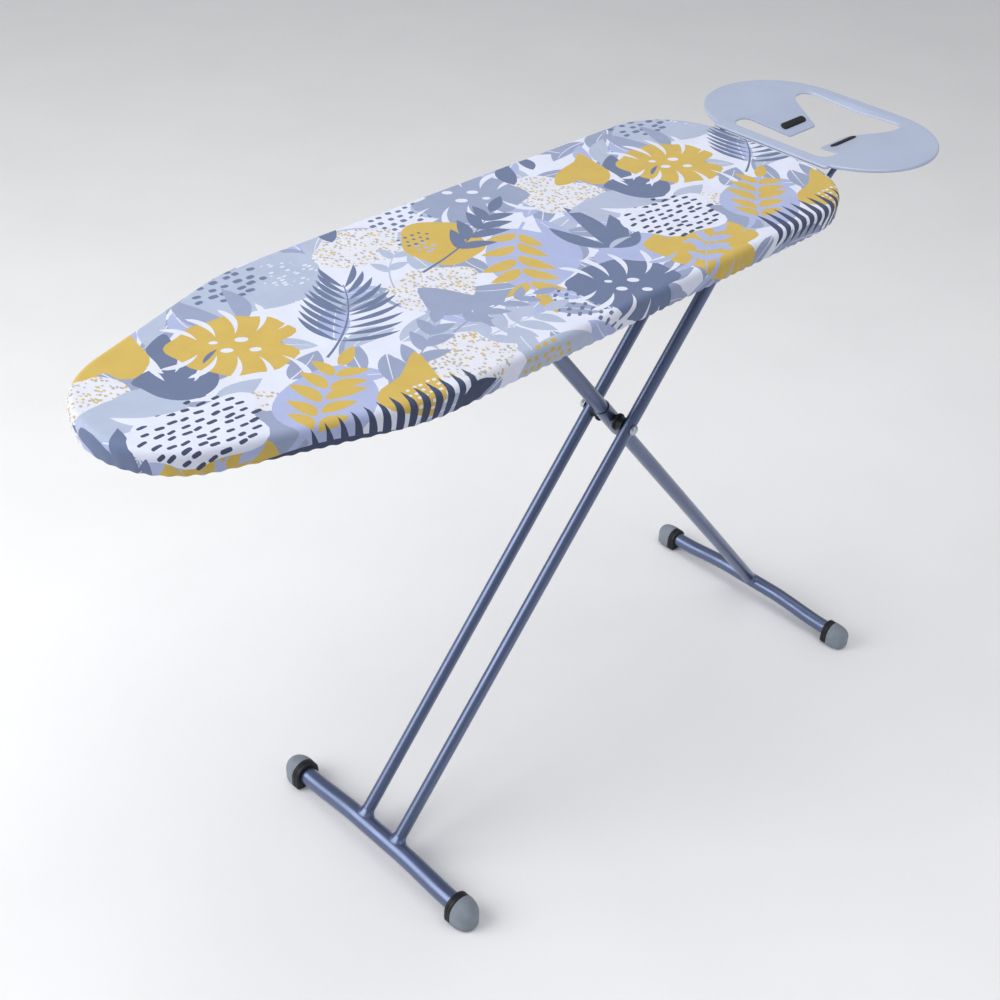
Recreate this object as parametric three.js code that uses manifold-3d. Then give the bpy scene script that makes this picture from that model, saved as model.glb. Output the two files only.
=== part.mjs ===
// A folding ironing board: a fabric-covered steel top on scissor legs, with a fixed iron rest at its wide end.
// Millimetres, +Z up. X runs along the board from the nose (-X) to the iron rest (+X), Y runs across it.
// The origin is on the floor, under the middle of the bounding box.
//
// The twin front legs hinge on a bolt below the wide end. The single rear leg is bolted between them, and
// its top slides in a slotted rail below the board. Both legs reach equally far above the scissor bolt,
// so the rear leg always turns twice as far against the front legs as they turn against the board.

import * as THREE from "three";
import { mergeVertices } from "three/addons/utils/BufferGeometryUtils.js";
import Module from "manifold-3d";

const wasm = await Module();
wasm.setup();

// ---- Driving dimensions ----------------------------------------------------------------------------

const GAP = 0.3; // between pieces that touch

// Board outline: a round nose, a straight taper, parallel sides and round corners at the wide end.
const NOSE_X = -679;
const END_X = 430;
const HALF_WIDTH = 188;
const NOSE_RADIUS = 122;
const TAPER_ANGLE = THREE.MathUtils.degToRad(18.5);
const BLEND_RADIUS = 260;
const CORNER_RADIUS = 120;

// Heights of the layers of the top.
const TOP_Z = 915;
const COVER_THICKNESS = 2;
const COVER_HEIGHT = 31.5;
const HEM_WIDTH = 16;
const PAD_THICKNESS = 11.5;
const SHEET_Z = 900.3;
const SHEET_THICKNESS = 0.5;
const RIM_RADIUS = 7;
const RIM_INSET = 11;
const RIM_Z = 893;
const CROSS_BAR_HEIGHT = 10;
const CROSS_BAR_WIDTH = 24;

// Legs, seen from the side. Both make the same angle with the floor.
const CROSSING = new THREE.Vector3(142, 0, 576);
const LEG_ANGLE = THREE.MathUtils.degToRad(50.7); // from the floor, standing
const HINGE_Z = 862;
const FOLD_ANGLE = 46; // degrees from standing to folded; record.json has the same number
const TUBE_WALL = 1;
const FRONT_TUBE_RADIUS = 9.5;
const FRONT_TUBE_Y = 36;
const REAR_TUBE_RADIUS = 11;
const TUBE_OVERRUN = 14; // past the hinge and past the slide pin

// Foot bars, their collars and caps. A bar's ends lie lower than its middle, which is at z.
const FRONT_FOOT = {
  z: 29.5, endZ: 22, radius: 14.2, half: 190, collarY: 167, capRadius: 22, capLength: 30, sole: 21,
};
const REAR_FOOT = {
  z: 29, endZ: 21, radius: 12.5, half: 196, collarY: 171, capRadius: 18, capLength: 30, sole: 10,
};
const BAR_STEPS = 12;
const COLLAR_LENGTH = 12;

// Fasteners and pins all have an 8 mm shank.
const PIN_RADIUS = 4;
const HOLE_RADIUS = PIN_RADIUS + GAP;

// Slotted rail, height rack and its lever.
const RAIL = { nose: -412, end: 41, half: 18, wall: 2, bottom: 847, top: 889.7 };
const RACK_Y = 19;
const RACK_THICKNESS = 2;
const NOTCHES = 5;
const NOTCH_PITCH = 35;
const LEVER_X = 48;
const LEVER_Z = 874;
const LEVER_ARM_Y = -150;
const RACK_LIFT = THREE.MathUtils.degToRad(2.7); // the rack is drawn lifted just clear of the slide pin

// Iron rest: a stadium-shaped plate, open in the middle, with two tongues that dip between the lobes.
const REST = { x: 560, half: 119, lobeY: 65, top: 914, thickness: 2.5, flange: 3 };
const REST_OPENING = { nose: 460, end: 655, half: 85, corner: 14 };
const TONGUE = { rootNose: 494, rootEnd: 642, tipNose: 534, tipEnd: 598, tipY: 27 };
const TONGUE_DIP = THREE.MathUtils.degToRad(21);
const SLOT = { x: 561.5, y: 45, length: 54, width: 9 };
const ARM_Y = 98;
const ARM_RADIUS = 4;

// ---- Worked out from the driving dimensions --------------------------------------------------------

const UPPER_REACH = (HINGE_Z - CROSSING.z) / Math.tan(LEG_ANGLE);
const UPPER_LENGTH = Math.hypot(UPPER_REACH, HINGE_Z - CROSSING.z);
const HINGE_X = CROSSING.x + UPPER_REACH;
const SLIDE_X = CROSSING.x - UPPER_REACH;
const FOLDED_ANGLE = LEG_ANGLE - THREE.MathUtils.degToRad(FOLD_ANGLE);
const FOLDED_SLIDE_X = HINGE_X - 2 * UPPER_LENGTH * Math.cos(FOLDED_ANGLE);
const HEM_Z = TOP_Z - COVER_HEIGHT;
const CROSS_BAR_Z = SHEET_Z - GAP - CROSS_BAR_HEIGHT;
const HINGE = new THREE.Vector3(HINGE_X, 0, HINGE_Z);
const SLIDE = new THREE.Vector3(SLIDE_X, 0, HINGE_Z);

// ---- Materials -------------------------------------------------------------------------------------

const paint = (color, roughness, metalness) =>
  new THREE.MeshStandardMaterial({ color, roughness, metalness });
const STEEL = paint(0x76829a, 0.32, 0.7);
const REST_PAINT = paint(0xb2bcd6, 0.5, 0.1);
const ZINC = paint(0xaab2bf, 0.35, 0.9);
const BLACK = paint(0x0d0f14, 0.55, 0);
const GREY_RUBBER = paint(0xa3adba, 0.7, 0);
const FABRIC = paint(0xd6daea, 0.9, 0);
const FELT = paint(0xdcdcd8, 0.95, 0);
const NYLON = paint(0xe6e6e0, 0.5, 0);

// ---- Geometry helpers ------------------------------------------------------------------------------

/** A closed three.js geometry as a manifold solid. */
function solidOf(geometry) {
  const bare = new THREE.BufferGeometry();
  const source = geometry.index ? geometry.toNonIndexed() : geometry;
  bare.setAttribute("position", source.getAttribute("position"));
  const merged = mergeVertices(bare, 1e-4);
  return new wasm.Manifold(
    new wasm.Mesh({
      numProp: 3,
      vertProperties: new Float32Array(merged.getAttribute("position").array),
      triVerts: new Uint32Array(merged.index.array),
    }),
  );
}

/** A manifold solid as a three.js geometry. */
function geometryOf(solid) {
  const mesh = solid.getMesh();
  const geometry = new THREE.BufferGeometry();
  geometry.setAttribute("position", new THREE.BufferAttribute(mesh.vertProperties, 3));
  geometry.setIndex(new THREE.BufferAttribute(mesh.triVerts, 1));
  return geometry;
}

/** base with every tool cut away. */
function cut(base, ...tools) {
  const cutSolid = tools.reduce((solid, tool) => solid.subtract(solidOf(tool)), solidOf(base));
  return geometryOf(cutSolid);
}

/** All the geometries joined into one body. */
function join(...geometries) {
  return geometryOf(geometries.map(solidOf).reduce((a, b) => a.add(b)));
}

/** A box between two corners. */
function box(x0, x1, y0, y1, z0, z1) {
  const geometry = new THREE.BoxGeometry(x1 - x0, y1 - y0, z1 - z0);
  return geometry.translate((x0 + x1) / 2, (y0 + y1) / 2, (z0 + z1) / 2);
}

/** A cylinder along Y from y0 to y1, round the point (x, z). */
function rodY(x, z, radius, y0, y1, sides = 20) {
  const geometry = new THREE.CylinderGeometry(radius, radius, y1 - y0, sides);
  return geometry.translate(x, (y0 + y1) / 2, z);
}

/** A vertical cylinder from z0 to z1, with its own top and bottom radius. */
function rodZ(x, y, bottom, top, z0, z1, sides = 16) {
  const geometry = new THREE.CylinderGeometry(top, bottom, z1 - z0, sides);
  return geometry.rotateX(Math.PI / 2).translate(x, y, (z0 + z1) / 2);
}

/** A ring along Y: an outer cylinder with a hole of HOLE_RADIUS. */
function ringY(x, z, radius, y0, y1, hole = HOLE_RADIUS) {
  return cut(rodY(x, z, radius, y0, y1), rodY(x, z, hole, y0 - 1, y1 + 1));
}

/** A disc outline with an optional hole. */
function discShape(radius, hole = 0) {
  const shape = new THREE.Shape().absarc(0, 0, radius, 0, 2 * Math.PI);
  if (hole > 0) shape.holes.push(new THREE.Path().absarc(0, 0, hole, 0, 2 * Math.PI, true));
  return shape;
}

/** An outline drawn in X and Z, given a thickness along Y from y0 upwards. */
function plateXZ(shape, y0, thickness, curveSegments = 6) {
  const geometry = new THREE.ExtrudeGeometry(shape, {
    depth: thickness,
    bevelEnabled: false,
    curveSegments,
  });
  return geometry.rotateX(Math.PI / 2).translate(0, y0 + thickness, 0);
}

/** An outline drawn in X and Y, given a height from z0 upwards. */
function plateXY(shape, z0, height, curveSegments = 6) {
  const geometry = new THREE.ExtrudeGeometry(shape, {
    depth: height,
    bevelEnabled: false,
    curveSegments,
  });
  return geometry.translate(0, 0, z0);
}

/** A solid or hollow tube that follows a curve. */
function sweep(curve, radius, hole, steps, curveSegments = 6) {
  return new THREE.ExtrudeGeometry(discShape(radius, hole), {
    extrudePath: curve,
    steps,
    curveSegments,
    bevelEnabled: false,
  });
}

/** A straight tube between two points. */
function straightTube(from, to, radius, hole) {
  return sweep(new THREE.LineCurve3(from, to), radius, hole, 1, 8);
}

/** The board's outline, moved inwards by inset. Every corner is an arc whose centre stays in place. */
function boardOutline(inset) {
  const up = Math.PI / 2;
  const down = 3 * up;
  const blendY = HALF_WIDTH - BLEND_RADIUS;
  const reach =
    (BLEND_RADIUS - NOSE_RADIUS + Math.cos(TAPER_ANGLE) * blendY) / Math.sin(TAPER_ANGLE);
  const noseX = NOSE_X + NOSE_RADIUS;
  const cornerX = END_X - CORNER_RADIUS;
  const cornerY = HALF_WIDTH - CORNER_RADIUS;
  const shape = new THREE.Shape();
  shape.absarc(noseX, 0, NOSE_RADIUS - inset, up + TAPER_ANGLE, down - TAPER_ANGLE);
  shape.absarc(noseX + reach, -blendY, BLEND_RADIUS - inset, down - TAPER_ANGLE, down);
  shape.absarc(cornerX, -cornerY, CORNER_RADIUS - inset, down, 4 * up);
  shape.absarc(cornerX, cornerY, CORNER_RADIUS - inset, 0, up);
  shape.absarc(noseX + reach, blendY, BLEND_RADIUS - inset, up, up + TAPER_ANGLE);
  return shape;
}

/** A stadium outline with its straight sides along Y. */
function stadium(x, half, lobeY) {
  const shape = new THREE.Shape();
  shape.absarc(x, lobeY, half, 0, Math.PI);
  shape.absarc(x, -lobeY, half, Math.PI, 2 * Math.PI);
  return shape;
}

/** A slot outline with its round ends along X. */
function slotShape(x, y, length, width) {
  const radius = width / 2;
  const run = length / 2 - radius;
  const shape = new THREE.Shape();
  shape.absarc(x + run, y, radius, -Math.PI / 2, Math.PI / 2);
  shape.absarc(x - run, y, radius, Math.PI / 2, 1.5 * Math.PI);
  return shape;
}

const group = new THREE.Group();
group.name = "ironing_board";

/** Adds one named sub-part. */
function add(name, geometry, material, parent = group) {
  const mesh = new THREE.Mesh(geometry, material);
  mesh.name = name;
  parent.add(mesh);
  return mesh;
}

/** Calls make("near", -1) and make("far", 1): near is the -Y side. */
function bothSides(make) {
  make("near", -1);
  make("far", 1);
}

/** [low, high] of a span that lies from a to b outwards from the middle, on one side of it. */
const span = (side, a, b) => (side > 0 ? [a, b] : [-b, -a]);

// ---- The top: rim, sheet, pad and cover ------------------------------------------------------------

/** A round tube bent along the outline: a thin band, rounded to the tube's radius. */
function rimGeometry(radius) {
  const flat = 0.5; // half the flat that stays between the rounded edges
  const band = boardOutline(RIM_INSET - flat);
  band.holes.push(new THREE.Path(boardOutline(RIM_INSET + flat).getPoints(5)));
  const round = radius - flat;
  const geometry = new THREE.ExtrudeGeometry(band, {
    depth: 2 * flat,
    bevelSize: round,
    bevelThickness: round,
    bevelSegments: 2,
    curveSegments: 5,
  });
  return geometry.translate(0, 0, RIM_Z - flat);
}

/** The fabric cover: a cap over the pad and rim, with a hem that turns in under the rim. */
function coverGeometry() {
  const edge = 6;
  const skin = new THREE.ExtrudeGeometry(boardOutline(edge), {
    depth: COVER_HEIGHT - 2 * edge,
    bevelSize: edge,
    bevelThickness: edge,
    bevelSegments: 2,
    curveSegments: 8,
  });
  skin.translate(0, 0, HEM_Z + edge);
  const inside = COVER_HEIGHT - 2 * COVER_THICKNESS;
  const room = plateXY(boardOutline(COVER_THICKNESS), HEM_Z + COVER_THICKNESS, inside, 8);
  const mouth = plateXY(boardOutline(HEM_WIDTH), HEM_Z - 1, COVER_HEIGHT / 2, 8);
  return cut(skin, room, mouth);
}

const PAD_Z = SHEET_Z + SHEET_THICKNESS + GAP;
const drain = rodZ(NOSE_X + RIM_INSET, 0, 2.5, 2.5, RIM_Z - RIM_RADIUS - 1, RIM_Z, 8);
add("rim_frame", cut(rimGeometry(RIM_RADIUS), rimGeometry(RIM_RADIUS - TUBE_WALL), drain), STEEL);
add("mesh_top", plateXY(boardOutline(4), SHEET_Z, SHEET_THICKNESS, 8), STEEL);
add("felt_pad", plateXY(boardOutline(3), PAD_Z, PAD_THICKNESS, 8), FELT);
add("fabric_cover", coverGeometry(), FABRIC);

// An elastic cord runs all round inside the hem and draws it in under the rim.
const elastic = boardOutline(HEM_WIDTH + GAP);
elastic.holes.push(new THREE.Path(boardOutline(HEM_WIDTH + GAP + 3).getPoints(8)));
add("hem_elastic", plateXY(elastic, HEM_Z, 2.5, 8), BLACK);

// ---- Cross bars between the sides of the rim -------------------------------------------------------

/** A flat bar across the frame that ends against the inside of the rim. */
function crossBar(x) {
  const bar = box(
    x - CROSS_BAR_WIDTH / 2,
    x + CROSS_BAR_WIDTH / 2,
    -HALF_WIDTH,
    HALF_WIDTH,
    CROSS_BAR_Z,
    CROSS_BAR_Z + CROSS_BAR_HEIGHT,
  );
  const inside = plateXY(boardOutline(RIM_INSET), CROSS_BAR_Z, CROSS_BAR_HEIGHT, 8);
  const trimmed = geometryOf(solidOf(bar).intersect(solidOf(inside)));
  return cut(trimmed, rimGeometry(RIM_RADIUS + GAP));
}

const RACK_BAR_X = RAIL.end - CROSS_BAR_WIDTH / 2;
const NOSE_BAR_X = RAIL.nose + CROSS_BAR_WIDTH / 2;
add("hinge_cross_bar", crossBar(HINGE_X), STEEL);
add("middle_cross_bar", crossBar(RACK_BAR_X), STEEL);
add("nose_cross_bar", crossBar(NOSE_BAR_X), STEEL);

// ---- Hinge of the front legs -----------------------------------------------------------------------

const EAR_Y = 47;
const EAR_THICKNESS = 3;
const HEAD_HEIGHT = 5;
const HEAD_RADIUS = 8;

/** A hanging ear: square at the top, round below its hole. */
function earShape(x, z, radius, top) {
  const shape = new THREE.Shape();
  shape.moveTo(x + radius, top);
  shape.lineTo(x - radius, top);
  shape.absarc(x, z, radius, Math.PI, 2 * Math.PI);
  shape.holes.push(new THREE.Path().absarc(x, z, HOLE_RADIUS, 0, 2 * Math.PI, true));
  return shape;
}

/** A bolt along Y with a domed head on the near side. */
function boltGeometry(x, z, headY, tipY) {
  const head = new THREE.SphereGeometry(HEAD_RADIUS, 12, 6, 0, 2 * Math.PI, 0, Math.PI / 2);
  head.scale(1, HEAD_HEIGHT / HEAD_RADIUS, 1);
  const base = new THREE.CircleGeometry(HEAD_RADIUS, 12).rotateX(Math.PI / 2);
  const dome = mergeClosed([head, base]).rotateX(Math.PI).translate(x, headY, z);
  return join(dome, rodY(x, z, PIN_RADIUS, headY - 0.5, tipY));
}

/** Open surfaces whose edges meet, as one closed geometry. */
function mergeClosed(surfaces) {
  const positions = surfaces.flatMap((surface) => [
    ...(surface.index ? surface.toNonIndexed() : surface).getAttribute("position").array,
  ]);
  const geometry = new THREE.BufferGeometry();
  return geometry.setAttribute("position", new THREE.Float32BufferAttribute(positions, 3));
}

/** A hexagon nut along Y, with its hole. */
function nutGeometry(x, z, y0, height) {
  return cut(rodY(x, z, HEAD_RADIUS, y0, y0 + height, 6), rodY(x, z, HOLE_RADIUS, y0 - 1, y0 + height + 1));
}

bothSides((name, side) => {
  const [low] = span(side, EAR_Y, EAR_Y + EAR_THICKNESS);
  const shape = earShape(HINGE_X, HINGE_Z, 13, CROSS_BAR_Z - GAP);
  add(`hinge_ear_${name}`, plateXZ(shape, low, EAR_THICKNESS), STEEL);
});
const HINGE_HEAD_Y = EAR_Y + EAR_THICKNESS + GAP;
add("hinge_bolt", boltGeometry(HINGE_X, HINGE_Z, -HINGE_HEAD_Y, HINGE_HEAD_Y + 9), ZINC);
add("hinge_nut", nutGeometry(HINGE_X, HINGE_Z, HINGE_HEAD_Y, 6.5), ZINC);

// ---- Slotted rail for the top of the rear leg ------------------------------------------------------

/** A channel, open below, with a slot for the slide pin through both walls. */
function railGeometry() {
  const { nose, end, half, wall, bottom, top } = RAIL;
  const channel = box(nose, end, -half, half, bottom, top);
  const inside = box(nose - 1, end + 1, wall - half, half - wall, bottom - 1, top - wall);
  const slotEnd = PIN_RADIUS + 2;
  const from = FOLDED_SLIDE_X - slotEnd;
  const to = SLIDE_X + slotEnd;
  const slot = slotShape((from + to) / 2, HINGE_Z, to - from, 2 * PIN_RADIUS + 1);
  return cut(channel, inside, plateXZ(slot, -half - 1, 2 * half + 2));
}

add("guide_rail", railGeometry(), STEEL);

// ---- Height rack and its release lever -------------------------------------------------------------

// The lever is drawn in place with its notches level, then lifted about its shaft.
const lever = new THREE.Group();
lever.position.set(LEVER_X, 0, LEVER_Z);
lever.rotation.y = RACK_LIFT;
group.add(lever);

/** One rack plate, in the lever's own frame: a boss on the shaft and a toothed bar towards the nose. */
function rackShape() {
  const toothZ = HINGE_Z - 2 - LEVER_Z;
  const topZ = toothZ + 16;
  const tip = SLIDE_X - (NOTCHES - 1) * NOTCH_PITCH - 18 - LEVER_X;
  const shape = new THREE.Shape();
  shape.moveTo(tip, topZ);
  shape.lineTo(tip, toothZ);
  for (let i = NOTCHES - 1; i >= 0; i -= 1) {
    const x = SLIDE_X - i * NOTCH_PITCH - LEVER_X;
    const radius = PIN_RADIUS + 0.6;
    shape.lineTo(x - radius, toothZ);
    shape.absarc(x, HINGE_Z - LEVER_Z, radius, Math.PI, 0, true);
    shape.lineTo(x + radius, toothZ);
  }
  shape.lineTo(-12, toothZ);
  shape.absarc(0, 0, 8, -Math.PI / 2, Math.PI / 2);
  shape.holes.push(new THREE.Path().absarc(0, 0, HOLE_RADIUS, 0, 2 * Math.PI, true));
  return shape;
}

bothSides((name, side) => {
  const [low] = span(side, RACK_Y, RACK_Y + RACK_THICKNESS);
  add(`rack_plate_${name}`, plateXZ(rackShape(), low, RACK_THICKNESS), ZINC, lever);
});

const SHAFT_END_Y = 30;
add("lever_shaft", rodY(0, 0, PIN_RADIUS, LEVER_ARM_Y - 6, SHAFT_END_Y), ZINC, lever);

/** The flat arm that the grip is pushed onto. */
function leverArmShape() {
  const shape = new THREE.Shape();
  shape.moveTo(-104, 5);
  shape.lineTo(-104, -5);
  shape.absarc(0, 0, 8, -Math.PI / 2, Math.PI / 2);
  shape.holes.push(new THREE.Path().absarc(0, 0, HOLE_RADIUS, 0, 2 * Math.PI, true));
  return shape;
}

/** The moulded grip, rounded all over, with a pocket for the arm. */
function gripGeometry() {
  const round = 4;
  const outline = slotShape(-72, 0, 84 - 2 * round, 22 - 2 * round);
  const body = new THREE.ExtrudeGeometry(outline, {
    depth: 14 - 2 * round,
    bevelSize: round,
    bevelThickness: round,
    bevelSegments: 2,
    curveSegments: 6,
  });
  body.rotateX(Math.PI / 2).translate(0, LEVER_ARM_Y + 3, 0);
  return cut(body, box(-105, -20, LEVER_ARM_Y - 1 - GAP, LEVER_ARM_Y + 1 + GAP, -8 - GAP, 8 + GAP));
}

add("lever_arm", plateXZ(leverArmShape(), LEVER_ARM_Y - 1, 2), ZINC, lever);
add("lever_grip", gripGeometry(), BLACK, lever);

for (const [name, y] of [["inner", 24], ["outer", -124]]) {
  const shape = earShape(LEVER_X, LEVER_Z, 7, CROSS_BAR_Z - GAP);
  const foot = box(RAIL.end - 20, LEVER_X, y + 0.5, y + 2.5, CROSS_BAR_Z - 5, CROSS_BAR_Z - 0.5);
  add(`lever_bracket_${name}`, join(plateXZ(shape, y, 3), foot), STEEL);
}

// ---- Iron rest -------------------------------------------------------------------------------------

/** The opening in the flat of the plate, before the tongues are added. */
function openingShape() {
  const { nose, end, half, corner } = REST_OPENING;
  const shape = new THREE.Shape();
  shape.absarc(end - corner, half - corner, corner, 0, Math.PI / 2);
  shape.absarc(nose + corner, half - corner, corner, Math.PI / 2, Math.PI);
  shape.absarc(nose + corner, corner - half, corner, Math.PI, 1.5 * Math.PI);
  shape.absarc(end - corner, corner - half, corner, 1.5 * Math.PI, 2 * Math.PI);
  return shape;
}

/** One tongue: a tapering plate with a slot, tilted down towards the middle of the rest. */
function tongueGeometry(side) {
  const root = REST_OPENING.half + 3;
  const along = (y) => (root - y) / Math.cos(TONGUE_DIP);
  const shape = new THREE.Shape();
  shape.moveTo(TONGUE.rootNose, 0);
  shape.lineTo(TONGUE.tipNose, along(TONGUE.tipY));
  shape.lineTo(TONGUE.tipEnd, along(TONGUE.tipY));
  shape.lineTo(TONGUE.rootEnd, 0);
  const plate = plateXY(shape, -REST.thickness, REST.thickness);
  const slot = slotShape(SLOT.x, along(SLOT.y), SLOT.length, SLOT.width);
  const slotted = cut(plate, plateXY(slot, -REST.thickness - 1, REST.thickness + 2));
  slotted.rotateX(-TONGUE_DIP).translate(0, -root, REST.top);
  return side < 0 ? slotted : mirrorY(slotted);
}

/** The geometry reflected in the plane Y = 0, with its faces still pointing out. */
function mirrorY(geometry) {
  const flipped = (geometry.index ? geometry.toNonIndexed() : geometry.clone()).scale(1, -1, 1);
  const position = flipped.getAttribute("position");
  for (let i = 0; i < position.count; i += 3) {
    const a = new THREE.Vector3().fromBufferAttribute(position, i);
    const b = new THREE.Vector3().fromBufferAttribute(position, i + 1);
    position.setXYZ(i, b.x, b.y, b.z);
    position.setXYZ(i + 1, a.x, a.y, a.z);
  }
  return flipped;
}

/** The plate with its downturned edge, its opening and both tongues. */
function restGeometry() {
  const outline = stadium(REST.x, REST.half, REST.lobeY);
  const bottom = REST.top - REST.thickness;
  const block = plateXY(outline, bottom - REST.flange, REST.thickness + REST.flange, 10);
  const under = stadium(REST.x, REST.half - REST.thickness, REST.lobeY);
  const hollow = plateXY(under, bottom - REST.flange - 1, REST.flange + 1, 10);
  const opening = plateXY(openingShape(), bottom - 1, REST.thickness + 2, 4);
  return join(cut(block, hollow, opening), tongueGeometry(-1), tongueGeometry(1));
}

add("iron_rest", restGeometry(), REST_PAINT);

/** A rubber strip that fills the slot in a tongue and stands a little proud of it. */
function restStrip(side) {
  const root = REST_OPENING.half + 3;
  const along = (root - SLOT.y) / Math.cos(TONGUE_DIP);
  const outline = slotShape(SLOT.x, along, SLOT.length - 2 * GAP, SLOT.width - 2 * GAP);
  const strip = plateXY(outline, -REST.thickness - 1, REST.thickness + 2.5);
  strip.rotateX(-TONGUE_DIP).translate(0, -root, REST.top);
  return side < 0 ? strip : mirrorY(strip);
}

bothSides((name, side) => add(`rest_strip_${name}`, restStrip(side), BLACK));

/** A bent rod from the hinge cross bar, under the hem and the rim, to the underside of the plate. */
function armGeometry(y) {
  const underBar = CROSS_BAR_Z - ARM_RADIUS - GAP;
  const underHem = HEM_Z - ARM_RADIUS - 3;
  const underPlate = REST.top - REST.thickness - ARM_RADIUS - GAP;
  const route = [
    [HINGE_X - 30, underBar],
    [HINGE_X - 16, underBar],
    [HINGE_X - 2, underBar - 1],
    [END_X - 38, underHem],
    [END_X + 2, underHem],
    [END_X + 36, underPlate - 5],
    [END_X + 56, underPlate - 1],
    [END_X + 76, underPlate],
    [REST.x + 50, underPlate],
  ];
  const points = route.map(([x, z]) => new THREE.Vector3(x, y, z));
  return sweep(new THREE.CatmullRomCurve3(points), ARM_RADIUS, 0, 24, 5);
}

bothSides((name, side) => {
  add(`rest_arm_${name}`, armGeometry(side * ARM_Y), STEEL);
  const x = REST.x + 20;
  const y = side * (ARM_Y + 14);
  const top = REST.top - REST.thickness - GAP;
  const tab = box(x - 8, x + 8, y - 8, y + 8, top - 2, top);
  add(`rest_tab_${name}`, join(tab, rodZ(x, y, 5, 5, top - 6, top - 1)), ZINC);
});

// ---- Legs ------------------------------------------------------------------------------------------

/** A point on a leg, a distance from the crossing. side is -1 for the front legs' slope, +1 for the rear leg's. */
function onLeg(slope, distance, y = 0) {
  return new THREE.Vector3(
    CROSSING.x + slope * distance * Math.cos(LEG_ANGLE),
    y,
    CROSSING.z - distance * Math.sin(LEG_ANGLE),
  );
}

/** Where a leg's foot bar crosses it: the distance from the crossing and the bar's centre. */
function footOf(slope, foot) {
  const distance = (CROSSING.z - foot.z) / Math.sin(LEG_ANGLE);
  return { distance, centre: onLeg(slope, distance) };
}

/** A hollow leg tube, from past its upper pin down to its foot bar, drilled for both pins. */
function legTube(slope, y, radius, foot, upperPin) {
  const top = onLeg(slope, -UPPER_LENGTH - TUBE_OVERRUN, y);
  const { distance, centre } = footOf(slope, foot);
  const tube = straightTube(top, onLeg(slope, distance, y), radius, radius - TUBE_WALL);
  const reach = radius + 2;
  return cut(
    tube,
    rodY(centre.x, foot.z, foot.radius + GAP, y - reach, y + reach, 32),
    rodY(upperPin.x, upperPin.z, HOLE_RADIUS, y - reach, y + reach),
    rodY(CROSSING.x, CROSSING.z, HOLE_RADIUS, y - reach, y + reach),
  );
}

/** A plug that closes the upper end of a leg tube. */
function plugGeometry(slope, y, radius) {
  const end = UPPER_LENGTH + TUBE_OVERRUN;
  const bore = radius - TUBE_WALL - GAP;
  const stem = straightTube(onLeg(slope, GAP - end - 0.5, y), onLeg(slope, 8 - end, y), bore, 0);
  const head = straightTube(onLeg(slope, -end - 2, y), onLeg(slope, -end - GAP, y), radius, 0);
  const neck = straightTube(onLeg(slope, -end - 1, y), onLeg(slope, 1 - end, y), bore, 0);
  return join(stem, neck, head);
}

/** A foot bar's centre line: level in the middle and in its collars, drooping between them. */
function barCurve(x, { z, endZ, half, collarY }) {
  const points = [];
  for (let i = 0; i <= BAR_STEPS; i += 1) {
    const y = half * ((2 * i) / BAR_STEPS - 1);
    const t = THREE.MathUtils.smoothstep(Math.abs(y), half * 0.25, collarY - 8);
    points.push(new THREE.Vector3(x, y, THREE.MathUtils.lerp(z, endZ, t)));
  }
  return new THREE.CatmullRomCurve3(points);
}

/** A rubber foot cap: a dome over the bar's end, on a round foot with a flat sole. */
function capGeometry(x, side, foot) {
  const innerY = foot.collarY + COLLAR_LENGTH + GAP;
  const dome = new THREE.SphereGeometry(1, 16, 12);
  dome.rotateX(Math.PI / 2).scale(foot.capRadius, foot.capLength, foot.capRadius);
  dome.translate(x, innerY, foot.endZ);
  const sole = rodZ(x, innerY + 2, foot.sole - 1, foot.sole, 0, foot.endZ, 16);
  const far = 60;
  const inwards = box(x - far, x + far, innerY - far, innerY, -far, 2 * far);
  const pocket = rodY(x, foot.endZ, foot.radius + 1, innerY - 1, foot.half + 1.5);
  const cap = cut(join(dome, sole), inwards, pocket);
  return side > 0 ? cap : mirrorY(cap);
}

/** A foot bar with its collars and caps. Names begin with leg: front or rear. */
function addFoot(leg, slope, foot) {
  const { x } = footOf(slope, foot).centre;
  const bar = sweep(barCurve(x, foot), foot.radius, foot.radius - TUBE_WALL, BAR_STEPS, 7);
  add(`${leg}_foot_bar`, bar, STEEL);
  bothSides((name, side) => {
    const [low, high] = span(side, foot.collarY, foot.collarY + COLLAR_LENGTH);
    const collar = ringY(x, foot.endZ, foot.capRadius - 1, low, high, foot.radius + 1);
    add(`${leg}_collar_${name}`, collar, BLACK);
    add(`${leg}_cap_${name}`, capGeometry(x, side, foot), GREY_RUBBER);
  });
}

// Front legs: two tubes side by side, joined by their foot bar and by a sleeve round the hinge bolt.
bothSides((name, side) => {
  const y = side * FRONT_TUBE_Y;
  const tube = legTube(-1, y, FRONT_TUBE_RADIUS, FRONT_FOOT, HINGE);
  add(`front_tube_${name}`, tube, STEEL);
  add(`front_plug_${name}`, plugGeometry(-1, y, FRONT_TUBE_RADIUS), BLACK);
});
const INNER_Y = FRONT_TUBE_Y - FRONT_TUBE_RADIUS - GAP;
add("hinge_sleeve", ringY(HINGE_X, HINGE_Z, 7, -INNER_Y, INNER_Y), ZINC);
addFoot("front", -1, FRONT_FOOT);

// Rear leg: one tube between the front legs, with the slide pin through its top.
add("rear_tube", legTube(1, 0, REAR_TUBE_RADIUS, REAR_FOOT, SLIDE), STEEL);
add("rear_plug", plugGeometry(1, 0, REAR_TUBE_RADIUS), BLACK);
addFoot("rear", 1, REAR_FOOT);

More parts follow.
